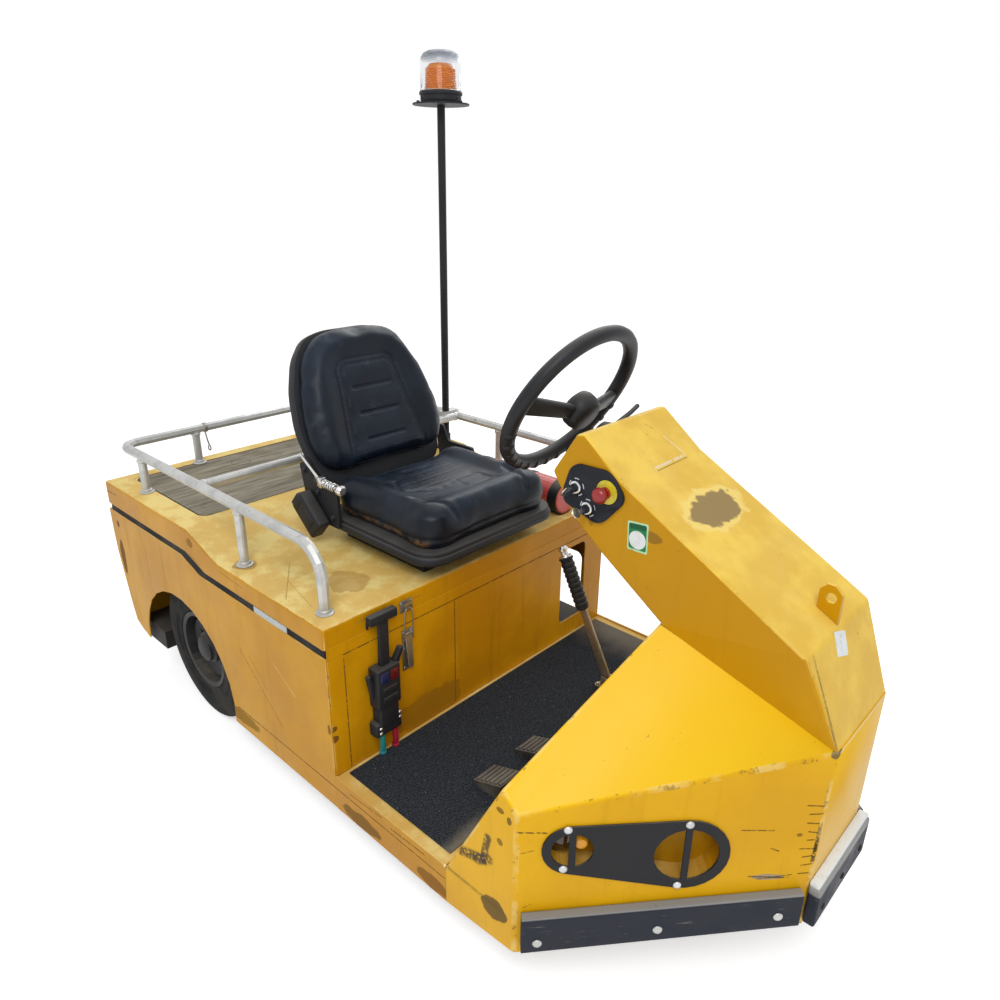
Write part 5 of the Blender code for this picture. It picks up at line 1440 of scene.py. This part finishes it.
wheels = (("front", "front_wheel"), ("rear_left", "rear_wheel_left"), ("rear_right", "rear_wheel_right"))
for name, body in wheels:
    low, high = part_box(f"{name}_tyre")
    centre, radius = (low + high) / 2, (high.z - low.z) / 2
    spin = aimed(centre, (1, 0, 0))
    addPiece(f"{name}_tread", put(turned(tyreProfile(radius, tyreLook), 96), spin), tyreRubber, body,
             (f"{name}_tyre",), 28)
    outer = (1,) if name == "rear_left" else (-1,) if name == "rear_right" else (-1, 1)
    for side in outer:
        capPlace = aimed(centre + Vector((side * 0.024, 0, 0)), (side, 0, 0))
        bits = [put(turned([(0, 0.0), (0.044, 0.0), (0.044, 0.006), (0.036, 0.010), (0.033, 0.019),
                            (0.024, 0.0235),
                            (0, 0.0245)], 36), capPlace)]
        for step in range(5):
            angle = math.radians(18 + 72 * step)
            spot = centre + Vector((side * 0.012, 0.064 * math.cos(angle), 0.064 * math.sin(angle)))
            bits.append(hexBolt(spot, (side, 0, 0), 0.0085))
        addPiece(f"{name}_hub_cap_{'left' if side > 0 else 'right'}", gather(*bits), rimPaint, body)
print("wheels built")

# Rear: hinge screws and the pin's ring

hingeBits = []
for x in (-0.32, -0.22, -0.12, 0.12, 0.22, 0.32):
    hingeBits.append(domeBolt((x, 0.9335, 0.472), (0, 1, 0), 0.005, 0.0026))
addPiece("hinge_screws_lower", gather(*hingeBits), bareSteel, "chassis")
hingeBits = [domeBolt((x, 0.9335, 0.545), (0, 1, 0), 0.005, 0.0026)
             for x in (-0.32, -0.22, -0.12, 0.12, 0.22, 0.32)]
addPiece("hinge_screws_upper", gather(*hingeBits), bareSteel, "deck")
ringSpots = [(0.024 * math.cos(step * math.pi / 6), 0.985, 0.397 + 0.024 * math.sin(step * math.pi / 6))
             for step in range(12)]
addPiece("pin_ring", tube(ringSpots, 0.0022, 10, True), bareSteel, "chassis")

# Last lines: floor, world, lights and view transform

studioLook = {
    "floor": 0.80,
    "floorLift": 0.52,
    "world": 0.62,
    "keyPower": 110,
    "keyPlace": (-2.6, -2.2, 4.2),
    "fillPower": 60,
    "fillPlace": (2.8, 1.6, 3.4),
}


def seenDirectly(tree):
    path = tree.nodes.new("ShaderNodeLightPath")
    total = None
    for output in ("Is Camera Ray", "Is Glossy Ray", "Is Transmission Ray"):
        if total is None:
            total = path.outputs[output]
            continue
        either = tree.nodes.new("ShaderNodeMath")
        either.operation = "MAXIMUM"
        tree.links.new(total, either.inputs[0])
        tree.links.new(path.outputs[output], either.inputs[1])
        total = either.outputs[0]
    return total


def makeFloor(look):
    shape = bmesh.new()
    bmesh.ops.create_grid(shape, x_segments=4, y_segments=4, size=30)
    finish = Finish("floor", Roughness=1.0, Specular_IOR_Level=0.0)
    seen = Wire(finish, seenDirectly(finish.tree))
    tone = 0.995 + 0.01 * finish.noise(0.4)
    white = finish.node("ShaderNodeCombineColor", None, {0: tone * look["floor"], 1: tone * look["floor"],
                                                        2: tone * look["floor"]})
    lift = finish.node("ShaderNodeCombineColor", None, {0: seen, 1: seen, 2: seen})
    finish.give(Base_Color=white, Emission_Color=lift, Emission_Strength=look["floorLift"])
    mesh = bpy.data.meshes.new("floor")
    shape.to_mesh(mesh)
    shape.free()
    mesh.materials.append(finish.material)
    floor = bpy.data.objects.new("floor", mesh)
    scene.collection.objects.link(floor)


def makeWorld(look):
    world = bpy.data.worlds.new("studio")
    world.use_nodes = True
    scene.world = world
    tree = world.node_tree
    soft = tree.nodes["Background"]
    soft.inputs["Color"].default_value = (1, 1, 1, 1)
    soft.inputs["Strength"].default_value = look["world"]
    white = tree.nodes.new("ShaderNodeBackground")
    white.inputs["Strength"].default_value = 1.0
    white.inputs["Color"].default_value = (1, 1, 1, 1)
    blend = tree.nodes.new("ShaderNodeMixShader")
    tree.links.new(seenDirectly(tree), blend.inputs[0])
    tree.links.new(soft.outputs[0], blend.inputs[1])
    tree.links.new(white.outputs[0], blend.inputs[2])
    tree.links.new(blend.outputs[0], tree.nodes["World Output"].inputs["Surface"])


def makeLamp(name, power, place, size, target=(0, 0, 0.4)):
    data = bpy.data.lights.new(name, "AREA")
    data.energy = power
    data.shape = "DISK"
    data.size = size
    lamp = bpy.data.objects.new(name, data)
    scene.collection.objects.link(lamp)
    lamp.location = place
    lamp.rotation_euler = (Vector(target) - Vector(place)).to_track_quat("-Z", "Y").to_euler()


makeFloor(studioLook)
makeWorld(studioLook)
makeLamp("key", studioLook["keyPower"], studioLook["keyPlace"], 2.4)
makeLamp("fill", studioLook["fillPower"], studioLook["fillPlace"], 3.0)
scene.view_settings.view_transform = "Standard"
print("studio set")
